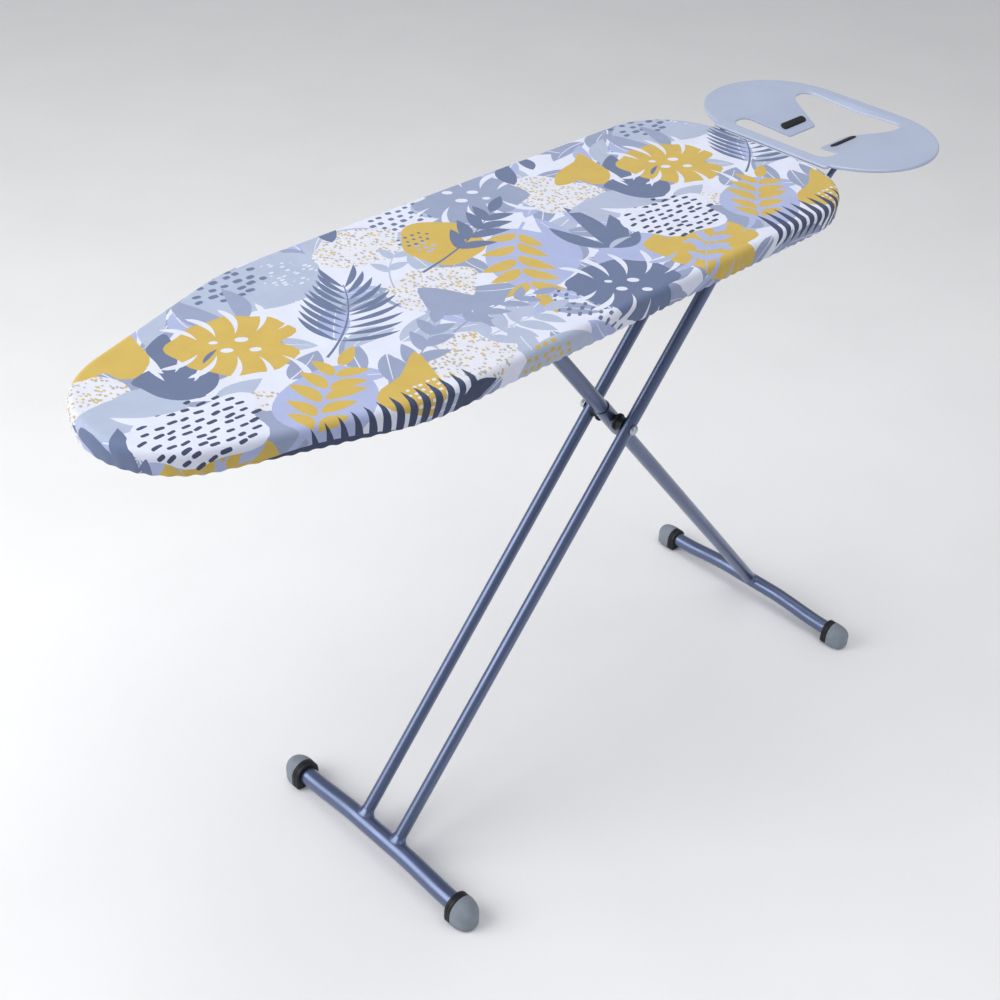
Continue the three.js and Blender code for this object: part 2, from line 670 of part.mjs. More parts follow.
const PIN_END_Y = 25;
add("slide_pin", rodY(SLIDE_X, HINGE_Z, PIN_RADIUS, -PIN_END_Y, PIN_END_Y), ZINC);
bothSides((name, side) => {
  const [low, high] = span(side, REAR_TUBE_RADIUS + GAP, RAIL.half - RAIL.wall - GAP);
  add(`slide_bush_${name}`, ringY(SLIDE_X, HINGE_Z, 8, low, high), NYLON);
});

// ---- Scissor pivot ---------------------------------------------------------------------------------

const SADDLE_Y = 14;
const SADDLE_RADIUS = 13.5;
const SPACER_RADIUS = 13;

bothSides((name, side) => {
  const rearTube = straightTube(onLeg(1, -40), onLeg(1, 40), REAR_TUBE_RADIUS + GAP, 0);
  const [saddleLow, saddleHigh] = span(side, 6, SADDLE_Y);
  const saddle = ringY(CROSSING.x, CROSSING.z, SADDLE_RADIUS, saddleLow, saddleHigh);
  add(`pivot_saddle_${name}`, cut(saddle, rearTube), STEEL);

  const y = side * FRONT_TUBE_Y;
  const frontTube = straightTube(onLeg(-1, -40, y), onLeg(-1, 40, y), FRONT_TUBE_RADIUS + GAP, 0);
  const [low, high] = span(side, SADDLE_Y + GAP, FRONT_TUBE_Y - 4);
  const spacer = ringY(CROSSING.x, CROSSING.z, SPACER_RADIUS, low, high);
  add(`pivot_spacer_${name}`, cut(spacer, frontTube), BLACK);
});

const PIVOT_HEAD_Y = FRONT_TUBE_Y + FRONT_TUBE_RADIUS + GAP;
add("pivot_bolt", boltGeometry(CROSSING.x, CROSSING.z, -PIVOT_HEAD_Y, PIVOT_HEAD_Y + 8), ZINC);
add("pivot_nut", nutGeometry(CROSSING.x, CROSSING.z, PIVOT_HEAD_Y, 6.5), ZINC);

export default group;
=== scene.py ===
"""A folding ironing board: a printed padded cover on a steel mesh top, scissor legs and an iron rest.

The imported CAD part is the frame, and everything here is built round it in its coordinates: +X runs
from the nose to the iron rest, +Z is up, and the floor is Z = 0. Lengths are in millimetres until
piece() turns them into metres.
"""

import math
import random

import bmesh
import bpy
import numpy as np
from mathutils import Matrix, Vector, noise
from mathutils.geometry import delaunay_2d_cdt


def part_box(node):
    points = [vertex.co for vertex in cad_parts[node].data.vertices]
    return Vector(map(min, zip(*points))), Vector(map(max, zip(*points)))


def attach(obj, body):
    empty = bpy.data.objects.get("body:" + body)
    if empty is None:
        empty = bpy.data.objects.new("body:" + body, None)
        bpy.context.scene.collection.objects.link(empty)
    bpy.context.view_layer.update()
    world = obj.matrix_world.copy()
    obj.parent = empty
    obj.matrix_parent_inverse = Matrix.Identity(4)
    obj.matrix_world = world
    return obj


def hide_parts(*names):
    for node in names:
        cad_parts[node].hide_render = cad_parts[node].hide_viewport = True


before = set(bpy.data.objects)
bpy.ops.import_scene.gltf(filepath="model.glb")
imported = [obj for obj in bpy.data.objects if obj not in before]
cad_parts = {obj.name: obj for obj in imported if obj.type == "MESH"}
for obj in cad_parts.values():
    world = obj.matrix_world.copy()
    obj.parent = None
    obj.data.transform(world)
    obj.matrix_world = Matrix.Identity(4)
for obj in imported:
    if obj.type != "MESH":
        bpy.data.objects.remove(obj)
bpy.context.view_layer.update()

# ---- Sizes, in millimetres ----

MM = 0.001
NOSE_X, END_X, HALF_WIDTH = -679, 430, 188
NOSE_RADIUS, BLEND_RADIUS, CORNER_RADIUS = 122, 260, 120
TAPER = math.radians(18.5)
TOP_Z, HEM_Z = 915, 883.5
SHEET_Z, RIM_Z, RIM_RADIUS, RIM_INSET = 900.3, 893, 7, 11

CROSSING = Vector((142, 0, 576))
HINGE_Z = 862
LEG_ANGLE = math.radians(50.7)
UPPER_REACH = (HINGE_Z - CROSSING.z) / math.tan(LEG_ANGLE)
UPPER_LENGTH = (HINGE_Z - CROSSING.z) / math.sin(LEG_ANGLE)
HINGE_X, SLIDE_X = CROSSING.x + UPPER_REACH, CROSSING.x - UPPER_REACH
FRONT_TUBE_RADIUS, FRONT_TUBE_Y, REAR_TUBE_RADIUS = 9.5, 36, 11
TUBE_WALL, TUBE_OVERRUN = 1.2, 14

# A foot bar's middle and end heights, its radius and half length, where its collars start, and its
# caps' radius, length and bluntness. slope says where the leg goes below the crossing: -1 is towards
# the nose and 1 is away from it.
FRONT_FOOT = dict(
    slope=-1, z=29.5, end_z=22, radius=14.2, half=190, collar_y=167, cap=22, length=30, blunt=2.2,
)
REAR_FOOT = dict(
    slope=1, z=29, end_z=21, radius=12.5, half=196, collar_y=171, cap=18, length=30, blunt=2.8,
)
COLLAR_LENGTH = 12
SIDES = (("near", -1), ("far", 1))

REST_X, REST_HALF, REST_LOBE_Y, REST_TOP = 560, 119, 65, 914
NECK_X, NECK_Y = 438, 101
TONGUE_ROOT_Y, TONGUE_DIP = 88, math.radians(21)
PLATE_EDGE, PLATE_EDGE_DROP, REST_ARM_Y = 2.6, 1.4, 98
LEVER_X, LEVER_Z, LEVER_LIFT = 48, 874, math.radians(2.7)
GRIP_START, GRIP_LENGTH = -114, 84

# ---- Meshes ----


def shown(name, data):
    """A new object in the scene."""
    obj = bpy.data.objects.new(name, data)
    bpy.context.scene.collection.objects.link(obj)
    return obj


def piece(name, shape, body, material, replaced=(), sharp=40):
    """A shown piece from (points, faces). Edges bent by more than sharp degrees stay crisp.

    body is the moving body it rides on, and replaced names the CAD nodes that it stands for.
    Where the CAD part has a material of the same name, Blender adds .001 to a finish's name.
    """
    points, faces = shape
    mesh = bpy.data.meshes.new(name)
    mesh.from_pydata([tuple(float(c) * MM for c in p) for p in points], [], faces)
    bm = bmesh.new()
    bm.from_mesh(mesh)
    bmesh.ops.recalc_face_normals(bm, faces=bm.faces)
    limit = math.radians(sharp)
    for edge in bm.edges:
        edge.smooth = len(edge.link_faces) != 2 or edge.calc_face_angle(0) < limit
    for face in bm.faces:
        face.smooth = True
    bm.to_mesh(mesh)
    bm.free()
    mesh.materials.append(material)
    obj = shown(name, mesh)
    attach(obj, body)
    if replaced:
        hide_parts(*replaced)
    return obj


def thicken(obj, thickness, offset):
    """Gives a surface a thickness. offset is 0 for half to each side and -1 for all below."""
    solid = obj.modifiers.new("Thickness", "SOLIDIFY")
    solid.thickness, solid.offset = thickness * MM, offset


def joined(*shapes):
    """Several (points, faces) as one."""
    points, faces = [], []
    for more_points, more_faces in shapes:
        start = len(points)
        points.extend(more_points)
        faces.extend([tuple(i + start for i in face) for face in more_faces])
    return points, faces


def strips(rings):
    """Quads between closed rings of equal length, and their points in order."""
    count = len(rings[0])
    points = [p for ring in rings for p in ring]
    faces = []
    for r in range(len(rings) - 1):
        for i in range(count):
            a, b = r * count + i, r * count + (i + 1) % count
            faces.append((a, b, b + count, a + count))
    return points, faces


def capped(rings):
    """Quads between rings, with the first and the last ring filled."""
    points, faces = strips(rings)
    count = len(rings[0])
    faces += [tuple(reversed(range(count))), tuple(range(len(points) - count, len(points)))]
    return points, faces


def round_angles(count):
    """Evenly spaced angles, once round."""
    return [2 * math.pi * k / count for k in range(count)]


def squared(value, power):
    """A sine or cosine raised to a power with its sign kept, which makes a circle squarer."""
    return math.copysign(abs(value) ** power, value)


def arc(x, y, radius, start, swing, count):
    """Points along an arc, both ends included."""
    angles = [start + swing * i / count for i in range(count + 1)]
    return [(x + radius * math.cos(a), y + radius * math.sin(a)) for a in angles]


def sweep(path, radius, sides=24, closed=False, wall=0.0):
    """A round bar along a path, or a tube if it has a wall. radius is a number or one per point."""
    pts = np.array([tuple(p) for p in path], float)
    n = len(pts)
    radii = np.broadcast_to(np.asarray(radius, float), (n,))
    if closed:
        tangents = np.roll(pts, -1, 0) - np.roll(pts, 1, 0)
    else:
        tangents = np.gradient(pts, axis=0)
    tangents /= np.linalg.norm(tangents, axis=1)[:, None]
    seed = np.array([0.0, 0.0, 1.0]) if abs(tangents[0][2]) < 0.9 else np.array([1.0, 0.0, 0.0])
    normals = []
    for t in tangents:
        seed = seed - t * (seed @ t)
        seed /= np.linalg.norm(seed)
        normals.append(seed)
    normals = np.array(normals)
    sideways = np.cross(tangents, normals)
    angles = np.linspace(0, 2 * math.pi, sides, endpoint=False)

    def ring(i, r):
        return [pts[i] + r * (math.cos(a) * normals[i] + math.sin(a) * sideways[i]) for a in angles]

    rings = [ring(i, radii[i]) for i in range(n)]
    if wall:
        rings += [ring(i, radii[i] - wall) for i in reversed(range(n))]
    if closed or wall:
        rings.append(rings[0])
    return weld(*(strips(rings) if closed or wall else capped(rings)))


def weld(points, faces, distance=1e-4):
    """The same surface with points that coincide made one."""
    keys, index, kept = {}, [], []
    for p in points:
        key = tuple(round(float(c) / distance) for c in p)
        if key not in keys:
            keys[key] = len(kept)
            kept.append(p)
        index.append(keys[key])
    merged = []
    for face in faces:
        corners = [index[i] for i in face]
        corners = [c for i, c in enumerate(corners) if c != corners[i - 1]]
        if len(corners) > 2:
            merged.append(tuple(corners))
    return kept, merged


def lathe(profile, x, z, sides, side=1):
    """Turns (radius, y) pairs round an axis along Y. A radius of almost nothing closes an end."""
    rings = []
    for r, y in profile:
        ring = []
        for a in round_angles(sides):
            ring.append((x + r * math.sin(a), side * y, z + r * math.cos(a)))
        rings.append(ring)
    return weld(*strips(rings), 5e-3)


def smooth_curve(points, per=3):
    """A rounded closed curve through the points (Catmull-Rom)."""
    p = np.array(points, float)
    n = len(p)
    out = []
    for i in range(n):
        a, b, c, d = p[i - 1], p[i], p[(i + 1) % n], p[(i + 2) % n]
        square, cube = 2 * a - 5 * b + 4 * c - d, 3 * b - a - 3 * c + d
        for k in range(per):
            t = k / per
            out.append(0.5 * (2 * b + (c - a) * t + square * t**2 + cube * t**3))
    return out


def filleted(points, radius, steps=6):
    """A path with its corners rounded."""
    p = [Vector(q) for q in points]
    out = [p[0]]
    for a, b, c in zip(p, p[1:], p[2:]):
        into, away = (a - b), (c - b)
        reach = min(radius, into.length * 0.45, away.length * 0.45)
        start, end = b + into.normalized() * reach, b + away.normalized() * reach
        for k in range(steps + 1):
            t = k / steps
            out.append(start * (1 - t) ** 2 + b * 2 * t * (1 - t) + end * t**2)
    return [*out, p[-1]]


def ease(x, low, high):
    """0 below low, 1 above high, and smooth between. Works on arrays too."""
    t = np.clip((np.asarray(x, float) - low) / (high - low), 0, 1)
    return t * t * (3 - 2 * t)


# ---- Materials ----


def colour(*screen):
    """A colour given as it looks on screen, 0 to 255, as linear values."""
    scaled = [v / 255 for v in screen]
    return (*(v / 12.92 if v <= 0.04045 else ((v + 0.055) / 1.055) ** 2.4 for v in scaled), 1)


def shaded(base, factor):
    """A colour made lighter or darker."""
    return (*(min(1, c * factor) for c in base[:3]), 1)


class Material:
    """A node material with a Principled shader.

    add() makes a node, and set() fills the shader's inputs. Lengths in materials are in metres.
    """

    def __init__(self, name):
        self.material = bpy.data.materials.new(name)
        self.material.use_nodes = True
        self.tree = self.material.node_tree
        self.shader = self.tree.nodes["Principled BSDF"]
        coordinates = self.tree.nodes.new("ShaderNodeTexCoord")
        self.place = coordinates.outputs["Object"]

    def link(self, socket, value):
        if isinstance(value, bpy.types.NodeSocket):
            self.tree.links.new(value, socket)
        else:
            socket.default_value = value

    def add(self, kind, output=0, settings=None, **inputs):
        node = self.tree.nodes.new(kind)
        for key, value in (settings or {}).items():
            setattr(node, key, value)
        for key, value in inputs.items():
            self.link(node.inputs[key.replace("_", " ")], value)
        return node.outputs[output]

    def noise(self, scale, detail=3.0, rough=0.55, vector=None, distortion=0.0):
        return self.add(
            "ShaderNodeTexNoise", Vector=vector or self.place, Scale=scale, Detail=detail,
            Roughness=rough, Distortion=distortion,
        )

    def stretch(self, scale, vector=None):
        return self.add("ShaderNodeMapping", Vector=vector or self.place, Scale=scale)

    def spread(self, value, from_low, from_high, to_low, to_high):
        node = self.tree.nodes.new("ShaderNodeMapRange")
        for socket, v in zip(node.inputs[:5], (value, from_low, from_high, to_low, to_high)):
            self.link(socket, v)
        return node.outputs[0]

    def cloud(self, scale, detail, low, high):
        """Soft noise between two values."""
        return self.spread(self.noise(scale, detail), 0.3, 0.7, low, high)

    def math(self, operation, a, b):
        node = self.tree.nodes.new("ShaderNodeMath")
        node.operation = operation
        self.link(node.inputs[0], a)
        self.link(node.inputs[1], b)
        return node.outputs[0]

    def mix(self, factor, a, b):
        node = self.tree.nodes.new("ShaderNodeMix")
        node.data_type = "RGBA"
        self.link(node.inputs[0], factor)
        self.link(node.inputs[6], a)
        self.link(node.inputs[7], b)
        return node.outputs[2]

    def bump(self, height, strength, distance):
        return self.add("ShaderNodeBump", Height=height, Strength=strength, Distance=distance)

    def waves(self, direction, vector, scale, **more):
        settings = {"bands_direction": direction}
        return self.add("ShaderNodeTexWave", "Fac", settings, Vector=vector, Scale=scale, **more)

    def cells(self, scale, vector, uneven):
        """Distance to the nearest of many scattered points."""
        place = self.stretch(scale, vector)
        return self.add("ShaderNodeTexVoronoi", "Distance", Vector=place, Scale=1.0, Randomness=uneven)

    def set(self, **inputs):
        for key, value in inputs.items():
            self.link(self.shader.inputs[key.replace("_", " ")], value)


def painted(name, base, metallic, roughness, peel):
    """Sprayed or powdered paint: orange peel, a little mottling and faint rub marks."""
    m = Material(name)
    shade = m.mix(m.cloud(14, 4, 0, 1), shaded(base, 0.93), base)
    rub = m.noise(60, 5, vector=m.stretch((1, 1, 9)), distortion=0.6)
    rubbed = m.spread(rub, 0.66, 0.72, 0, 0.25)
    m.set(
        Base_Color=m.mix(rubbed, shade, shaded(base, 1.25)),
        Metallic=metallic,
        Roughness=m.cloud(35, 5, roughness - 0.05, roughness + 0.07),
        Normal=m.bump(m.noise(380, 2), peel, 0.0003),
        Coat_Weight=0.15 + 0.6 * metallic,
        Coat_Roughness=0.28,
    )
    return m.material


def plated(name, base, roughness):
    """Zinc plate: bright, with fine drawn lines and slight clouding."""
    m = Material(name)
    lines = m.noise(420, 2, vector=m.stretch((0.12, 1, 1)))
    clouds = m.noise(45, 5, distortion=0.8)
    m.set(
        Base_Color=m.mix(m.spread(clouds, 0.35, 0.65, 0, 1), base, shaded(base, 0.78)),
        Metallic=1.0,
        Roughness=m.spread(clouds, 0.3, 0.7, roughness, roughness + 0.16),
        Normal=m.bump(lines, 0.12, 0.0002),
    )
    return m.material


def moulded(name, base, roughness, grain, dust=0.0):
    """Moulded plastic or rubber with a fine grain. dust pales the lowest 12 mm above the floor."""
    m = Material(name)
    shade = m.mix(m.cloud(70, 4, 0, 1), base, shaded(base, 0.82))
    if dust:
        height = m.add("ShaderNodeSeparateXYZ", 2, Vector=m.place)
        near_floor = m.spread(height, 0.0, 0.012, dust, 0)
        speck = m.spread(m.noise(380, 3), 0.42, 0.6, 0, 1)
        shade = m.mix(m.math("MULTIPLY", near_floor, speck), shade, colour(92, 88, 82))
    m.set(
        Base_Color=shade,
        Roughness=m.cloud(110, 3, roughness - 0.06, roughness + 0.08),
        Normal=m.bump(m.noise(1500, 2), grain, 0.0003),
    )
    return m.material


def cloth(name, base, extra=None):
    """Woven cotton. Threads follow the flat cut. extra(material, colour, flat) may print on it."""
    m = Material("cotton_" + name)
    flat = m.add("ShaderNodeAttribute", "Vector", settings={"attribute_name": "flat"})
    tone = m.spread(m.noise(30, 5, vector=flat), 0.25, 0.75, 0.93, 1.03)
    body = m.add("ShaderNodeVectorMath", settings={"operation": "SCALE"}, Vector=base[:3], Scale=tone)
    if extra:
        body = extra(m, body, flat)
    weave = m.math("MULTIPLY", *(m.waves(axis, flat, 320.0, Distortion=0.5) for axis in "XY"))
    fuzz = m.noise(900, 3, vector=flat)
    m.set(
        Base_Color=m.mix(m.spread(weave, 0.0, 0.5, 0.1, 0.0), body, colour(96, 106, 140)),
        Roughness=0.86,
        Specular_IOR_Level=0.25,
        Sheen_Weight=0.12,
        Sheen_Roughness=0.5,
        Normal=m.bump(m.math("ADD", weave, m.math("MULTIPLY", fuzz, 0.5)), 0.35, 0.00022),
    )
    return m.material


def speckled(m, body, flat):
    """Small tan brush marks, close together."""
    mark = m.spread(m.cells((215, 160, 1), flat, 0.9), 0.36, 0.42, 1, 0)
    patches = m.spread(m.noise(70, 2, vector=flat), 0.45, 0.55, 0, 1)
    return m.mix(mark, body, m.mix(patches, colour(206, 182, 110), colour(176, 172, 168)))


def netted(m, body, flat):
    """Rows of small pale dashes, as if brushed on."""
    mark = m.spread(m.cells((85, 150, 1), flat, 0.55), 0.28, 0.34, 0.8, 0)
    return m.mix(mark, body, colour(224, 229, 245))


STEEL = painted("painted_steel", colour(96, 109, 142), 0.85, 0.36, 0.03)
ENAMEL = painted("rest_enamel", colour(180, 191, 216), 0.12, 0.40, 0.05)
ZINC = plated("zinc_plate", colour(196, 202, 212), 0.26)
BLACK = moulded("black_plastic", colour(7, 9, 18), 0.52, 0.2)
CAP_GREY = moulded("grey_rubber", colour(136, 145, 157), 0.62, 0.35, dust=0.7)
SILICONE = moulded("black_silicone", colour(5, 6, 12), 0.6, 0.12)
NYLON = moulded("nylon", colour(226, 226, 218), 0.4, 0.1)

INKS = {
    "ground": cloth("ground", colour(224, 228, 245)),
    "mustard": cloth("mustard", colour(208, 178, 84)),
    "slate": cloth("slate", colour(104, 118, 150)),
    "grey": cloth("grey", colour(150, 161, 190)),
    "mist": cloth("mist", colour(178, 189, 212)),
    "lavender": cloth("lavender", colour(172, 182, 220)),
    "navy": cloth("navy", colour(62, 72, 100)),
    "speckle": cloth("speckle", colour(224, 226, 238), speckled),
    "net": cloth("net", colour(176, 188, 210), netted),
}


def felted():
    """Needled felt: matted fibres with no weave."""
    m = Material("felt")
    fibres = m.noise(260, 8, 0.7, distortion=1.6)
    m.set(
        Base_Color=m.mix(m.spread(fibres, 0.3, 0.7, 0, 1), colour(206, 206, 202), colour(232, 232, 228)),
        Roughness=0.95,
        Sheen_Weight=0.3,
        Normal=m.bump(fibres, 0.6, 0.0008),
    )
    return m.material


def braided():
    """Elastic cord: a fine diagonal braid."""
    m = Material("elastic")
    braid = m.waves("DIAGONAL", m.place, 420.0)
    m.set(
        Base_Color=m.mix(braid, colour(22, 23, 28), colour(58, 60, 68)),
        Roughness=0.8,
        Normal=m.bump(braid, 0.5, 0.0003),
    )
    return m.material


FELT = felted()
BRAID = braided()


def dress(node, material, bevel=0.35):
    """Gives a shown CAD node its material and small rounded edges."""
    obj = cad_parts[node]
    obj.data.materials.clear()
    obj.data.materials.append(material)
    obj.modifiers.new("Weld", "WELD").merge_threshold = 1e-6
    edges = obj.modifiers.new("Edges", "BEVEL")
    edges.width, edges.segments = bevel * MM, 2
    edges.limit_method, edges.angle_limit = "ANGLE", math.radians(35)
    edges.harden_normals = True


# ---- The board's outline ----


def outline_samples(step):
    """Points round the board's outline, their outward normals and the length along it so far.

    Moving every point along its normal gives the outline grown or shrunk by that much.
    """
    blend_y = HALF_WIDTH - BLEND_RADIUS
    reach = (BLEND_RADIUS - NOSE_RADIUS + math.cos(TAPER) * blend_y) / math.sin(TAPER)
    nose, corner = NOSE_X + NOSE_RADIUS, END_X - CORNER_RADIUS
    corner_y = HALF_WIDTH - CORNER_RADIUS
    quarter = math.pi / 2
    arcs = [
        (nose, 0, NOSE_RADIUS, quarter + TAPER, 3 * quarter - TAPER),
        (nose + reach, -blend_y, BLEND_RADIUS, 3 * quarter - TAPER, 3 * quarter),
        (corner, -corner_y, CORNER_RADIUS, 3 * quarter, 4 * quarter),
        (corner, corner_y, CORNER_RADIUS, 0, quarter),
        (nose + reach, blend_y, BLEND_RADIUS, quarter, quarter + TAPER),
    ]
    points, normals = [], []
    for k, (x, y, r, a0, a1) in enumerate(arcs):
        count = max(2, round(r * (a1 - a0) / step))
        for i in range(count + 1):
            a = a0 + (a1 - a0) * i / count
            n = np.array((math.cos(a), math.sin(a)))
            points.append(np.array((x, y)) + r * n)
            normals.append(n)
        nx, ny, nr, na, _ = arcs[(k + 1) % len(arcs)]
        far = np.array((nx, ny)) + nr * np.array((math.cos(na), math.sin(na)))
        gap = np.linalg.norm(far - points[-1])
        start, n = points[-1], normals[-1]
        for i in range(1, max(1, round(gap / step))):
            points.append(start + (far - start) * i / round(gap / step))
            normals.append(n)
    points, normals = np.array(points), np.array(normals)
    keep = np.linalg.norm(points - np.roll(points, 1, 0), axis=1) > 0.05
    points, normals = points[keep], normals[keep]
    along = np.concatenate(([0], np.cumsum(np.linalg.norm(np.diff(points, axis=0), axis=1))))
    return points, normals, along


def ring_at(samples, inset, z):
    """The outline moved inwards, at a height."""
    points, normals, _ = samples
    return [(x, y, z) for x, y in points - inset * normals]


# ---- The printed pattern, and a band of painted shade ----
# Every shape is (ink, outline) in the flat cut, in millimetres. Later shapes lie over earlier ones.


def turned(points, angle, centre):
    c, s = math.cos(angle), math.sin(angle)
    return [(centre[0] + c * x - s * y, centre[1] + s * x + c * y) for x, y in points]


def leaf(ink, base, tip, width, bend=0.0, fullest=0.45, count=9):
    """A pointed leaf. bend bows it sideways by that share of its length."""
    b, t = np.array(base, float), np.array(tip, float)
    run = t - b
    side = np.array((-run[1], run[0]))
    power = math.log(0.5) / math.log(fullest)
    left, right = [], []
    for i in range(1, count):
        u = i / count
        spine = b + run * u + side * bend * 4 * u * (1 - u)
        half = side / np.linalg.norm(side) * width / 2 * math.sin(math.pi * u**power) ** 0.85
        left.append(spine + half)
        right.append(spine - half)
    return ink, [b, *right, t, *reversed(left)]


def stem(ink, path, width, tip_width=0.6):
    """A thin stroke that narrows along its path."""
    p = np.array(path, float)
    tangents = np.gradient(p, axis=0)
    tangents /= np.linalg.norm(tangents, axis=1)[:, None]
    side = np.stack([-tangents[:, 1], tangents[:, 0]], 1)
    half = np.linspace(width, tip_width, len(p))[:, None] / 2
    return ink, [*(p - side * half), *reversed(list(p + side * half))]


def bowed(base, tip, bend, count=12):
    b, t = np.array(base, float), np.array(tip, float)
    side = np.array((-(t - b)[1], (t - b)[0]))
    return [b + (t - b) * u + side * bend * 4 * u * (1 - u) for u in np.linspace(0, 1, count)]


def blob(ink, x, y, rx, ry, seed, wobble=0.12, angle=0.0):
    """A soft irregular patch."""
    r = random.Random(seed)
    waves = [(k, r.uniform(-1, 1) * wobble / k**0.5, r.uniform(0, 6.28)) for k in (2, 3, 4, 5)]
    points = []
    for a in round_angles(40):
        swell = 1 + sum(h * math.cos(k * a + p) for k, h, p in waves)
        points.append((rx * swell * math.cos(a), ry * swell * math.sin(a)))
    return ink, turned(points, angle, (x, y))


def sprig(ink, base, tip, bend, pairs, length, width, lean=0.7, first=0.3, stalk=2.6):
    """A stem with leaves in pairs and one at its end. lean is the angle between leaf and stem."""
    path = bowed(base, tip, bend, 24)
    made = [stem(ink, path, stalk)]
    for k in range(pairs):
        u = first + (0.97 - first) * k / pairs
        for side in (1, -1):
            at = min(22, round((u + (0.02 if side < 0 else 0)) * 23))
            here, ahead = path[at], path[at + 1] - path[at - 1]
            heading = math.atan2(ahead[1], ahead[0]) + side * lean
            size = 1 - 0.35 * abs(u - 0.5) / 0.5
            out = here + length * size * np.array((math.cos(heading), math.sin(heading)))
            made.append(leaf(ink, here, out, width * size**0.5, bend=-0.07 * side))
    ahead = path[-1] - path[-3]
    out = path[-1] + ahead / np.linalg.norm(ahead) * length * 0.75
    made.append(leaf(ink, path[-2], out, width * 0.9))
    return made


def palm(ink, base, tip, bend, pairs, length, width, lean, first=0.24):
    """A frond: long narrow leaflets that spread from a thin stem and shorten towards its tip."""
    path = bowed(base, tip, bend, 24)
    made = [stem(ink, path, 3.4, 1.2)]
    for k in range(pairs):
        u = first + (0.99 - first) * k / (pairs - 1)
        for side in (1, -1):
            at = min(22, round(u * 22))
            ahead = path[at + 1] - path[at]
            heading = math.atan2(ahead[1], ahead[0]) + side * (lean - 0.65 * lean * u**2)
            size = 0.78 + 0.22 * math.sin(math.pi * min(1, u * 1.15))
            out = path[at] + length * size * np.array((math.cos(heading), math.sin(heading)))
            made.append(leaf(ink, path[at], out, width, bend=0.07 * side, fullest=0.5))
    return made


def monstera(ink, x, y, size, angle, gap_ink="ground", slits=5):
    """A split leaf. angle is where its tip points. Slits run in between its ribs, with holes beside
    the midrib.
    """
    made, edge = [], []
    for a in round_angles(56):
        tip = 0.17 * math.exp(-((math.atan2(math.sin(a), math.cos(a)) / 0.42) ** 2))
        notch = 0.34 * math.exp(-(((a - math.pi) / 0.27) ** 2))
        r = size * (0.96 + tip - notch + 0.03 * math.cos(9 * a))
        edge.append((1.03 * r * math.cos(a), 0.95 * r * math.sin(a)))
    made.append((ink, turned(edge, angle, (x, y))))
    for side in (1, -1):
        for k in range(slits):
            u = k / (slits - 1)
            lean = math.radians(112 - 78 * u)
            start = (size * (-0.5 + 1.0 * u), side * size * (0.14 - 0.04 * u))
            reach = size * (1.25 - 0.35 * u)
            rim = (start[0] + reach * math.cos(lean), start[1] + side * reach * math.sin(lean))
            run = (start[0] + 0.22 * (rim[0] - start[0]), start[1] + 0.22 * (rim[1] - start[1]))
            _, shape = leaf("", rim, run, size * 0.12, bend=-0.14 * side, fullest=0.33)
            made.append((gap_ink, turned(shape, angle, (x, y))))
    for u, v, r in ((0.22, 0.15, 0.07), (-0.02, -0.16, 0.075), (0.42, -0.11, 0.05), (-0.22, 0.17, 0.065)):
        hole = [
            (u * size + r * size * 1.5 * math.cos(b), v * size + r * size * math.sin(b))
            for b in np.linspace(0, 2 * math.pi, 10, endpoint=False)
        ]
        made.append((gap_ink, turned(hole, angle, (x, y))))
    return made


def crossed_frond(base, tip, bend, size):
    """Broad mustard leaves on a lavender patch, parted by a lavender stem."""
    middle = (np.array(base) + np.array(tip)) / 2
    slant = math.atan2(tip[1] - base[1], tip[0] - base[0])
    made = [blob("lavender", *middle, size * 1.5, size * 1.15, 30, 0.12, slant)]
    made += sprig("mustard", base, tip, bend, 5, size * 1.12, size * 0.4, 0.95, 0.16, stalk=4)
    made.append(stem("lavender", bowed(base, tip, bend), 4.5, 2))
    return made


def undergrowth(seed):
    """Pale leaves scattered under everything else, each with a light vein."""
    r = random.Random(seed)
    made = []
    pitch = 53
    for i in range(-1, int(TILE / pitch) + 1):
        for j in range(-5, 6):
            ink = r.choice(("mist", "grey", "lavender", "grey", "none"))
            x = NOSE_X + (i + 0.5 * (j % 2) + r.uniform(-0.25, 0.25)) * pitch
            y = (j + r.uniform(-0.25, 0.25)) * pitch
            heading, length = r.uniform(0, 2 * math.pi), r.uniform(58, 96)
            step = np.array((math.cos(heading), math.sin(heading))) * length / 2
            base, tip = (x, y) - step, (x, y) + step
            bend, width = r.uniform(-0.12, 0.12), r.uniform(24, 38)
            if ink != "none":
                made.append(leaf(ink, base, tip, width, bend))
                made.append(stem("ground", bowed(base, tip - step * 0.3, bend * 0.8, 8), 1.8, 0.8))
    return made


def dashes(ink, x, y, rx, ry, pitch, size, seed, angle=0.0, jitter=0.18):
    """Short strokes in loose rows, inside an oval."""
    r = random.Random(seed)
    made = []
    rows, columns = int(ry / pitch[1]) + 1, int(rx / pitch[0]) + 1
    for j in range(-rows, rows + 1):
        for i in range(-columns, columns + 1):
            u = (i + 0.5 * (j % 2) + r.uniform(-jitter, jitter)) * pitch[0]
            v = (j + r.uniform(-jitter, jitter)) * pitch[1]
            if (u / rx) ** 2 + (v / ry) ** 2 > 1:
                continue
            w, h = size[0] / 2 * r.uniform(0.8, 1.15), size[1] / 2 * r.uniform(0.85, 1.1)
            tilt = r.uniform(-0.2, 0.2)
            dash = [
                (w * squared(math.cos(b), 0.6), h * squared(math.sin(b), 0.6))
                for b in np.linspace(0.2, 2 * math.pi + 0.2, 10, endpoint=False)
            ]
            made.append((ink, turned(turned(dash, tilt, (u, v)), angle, (x, y))))
    return made


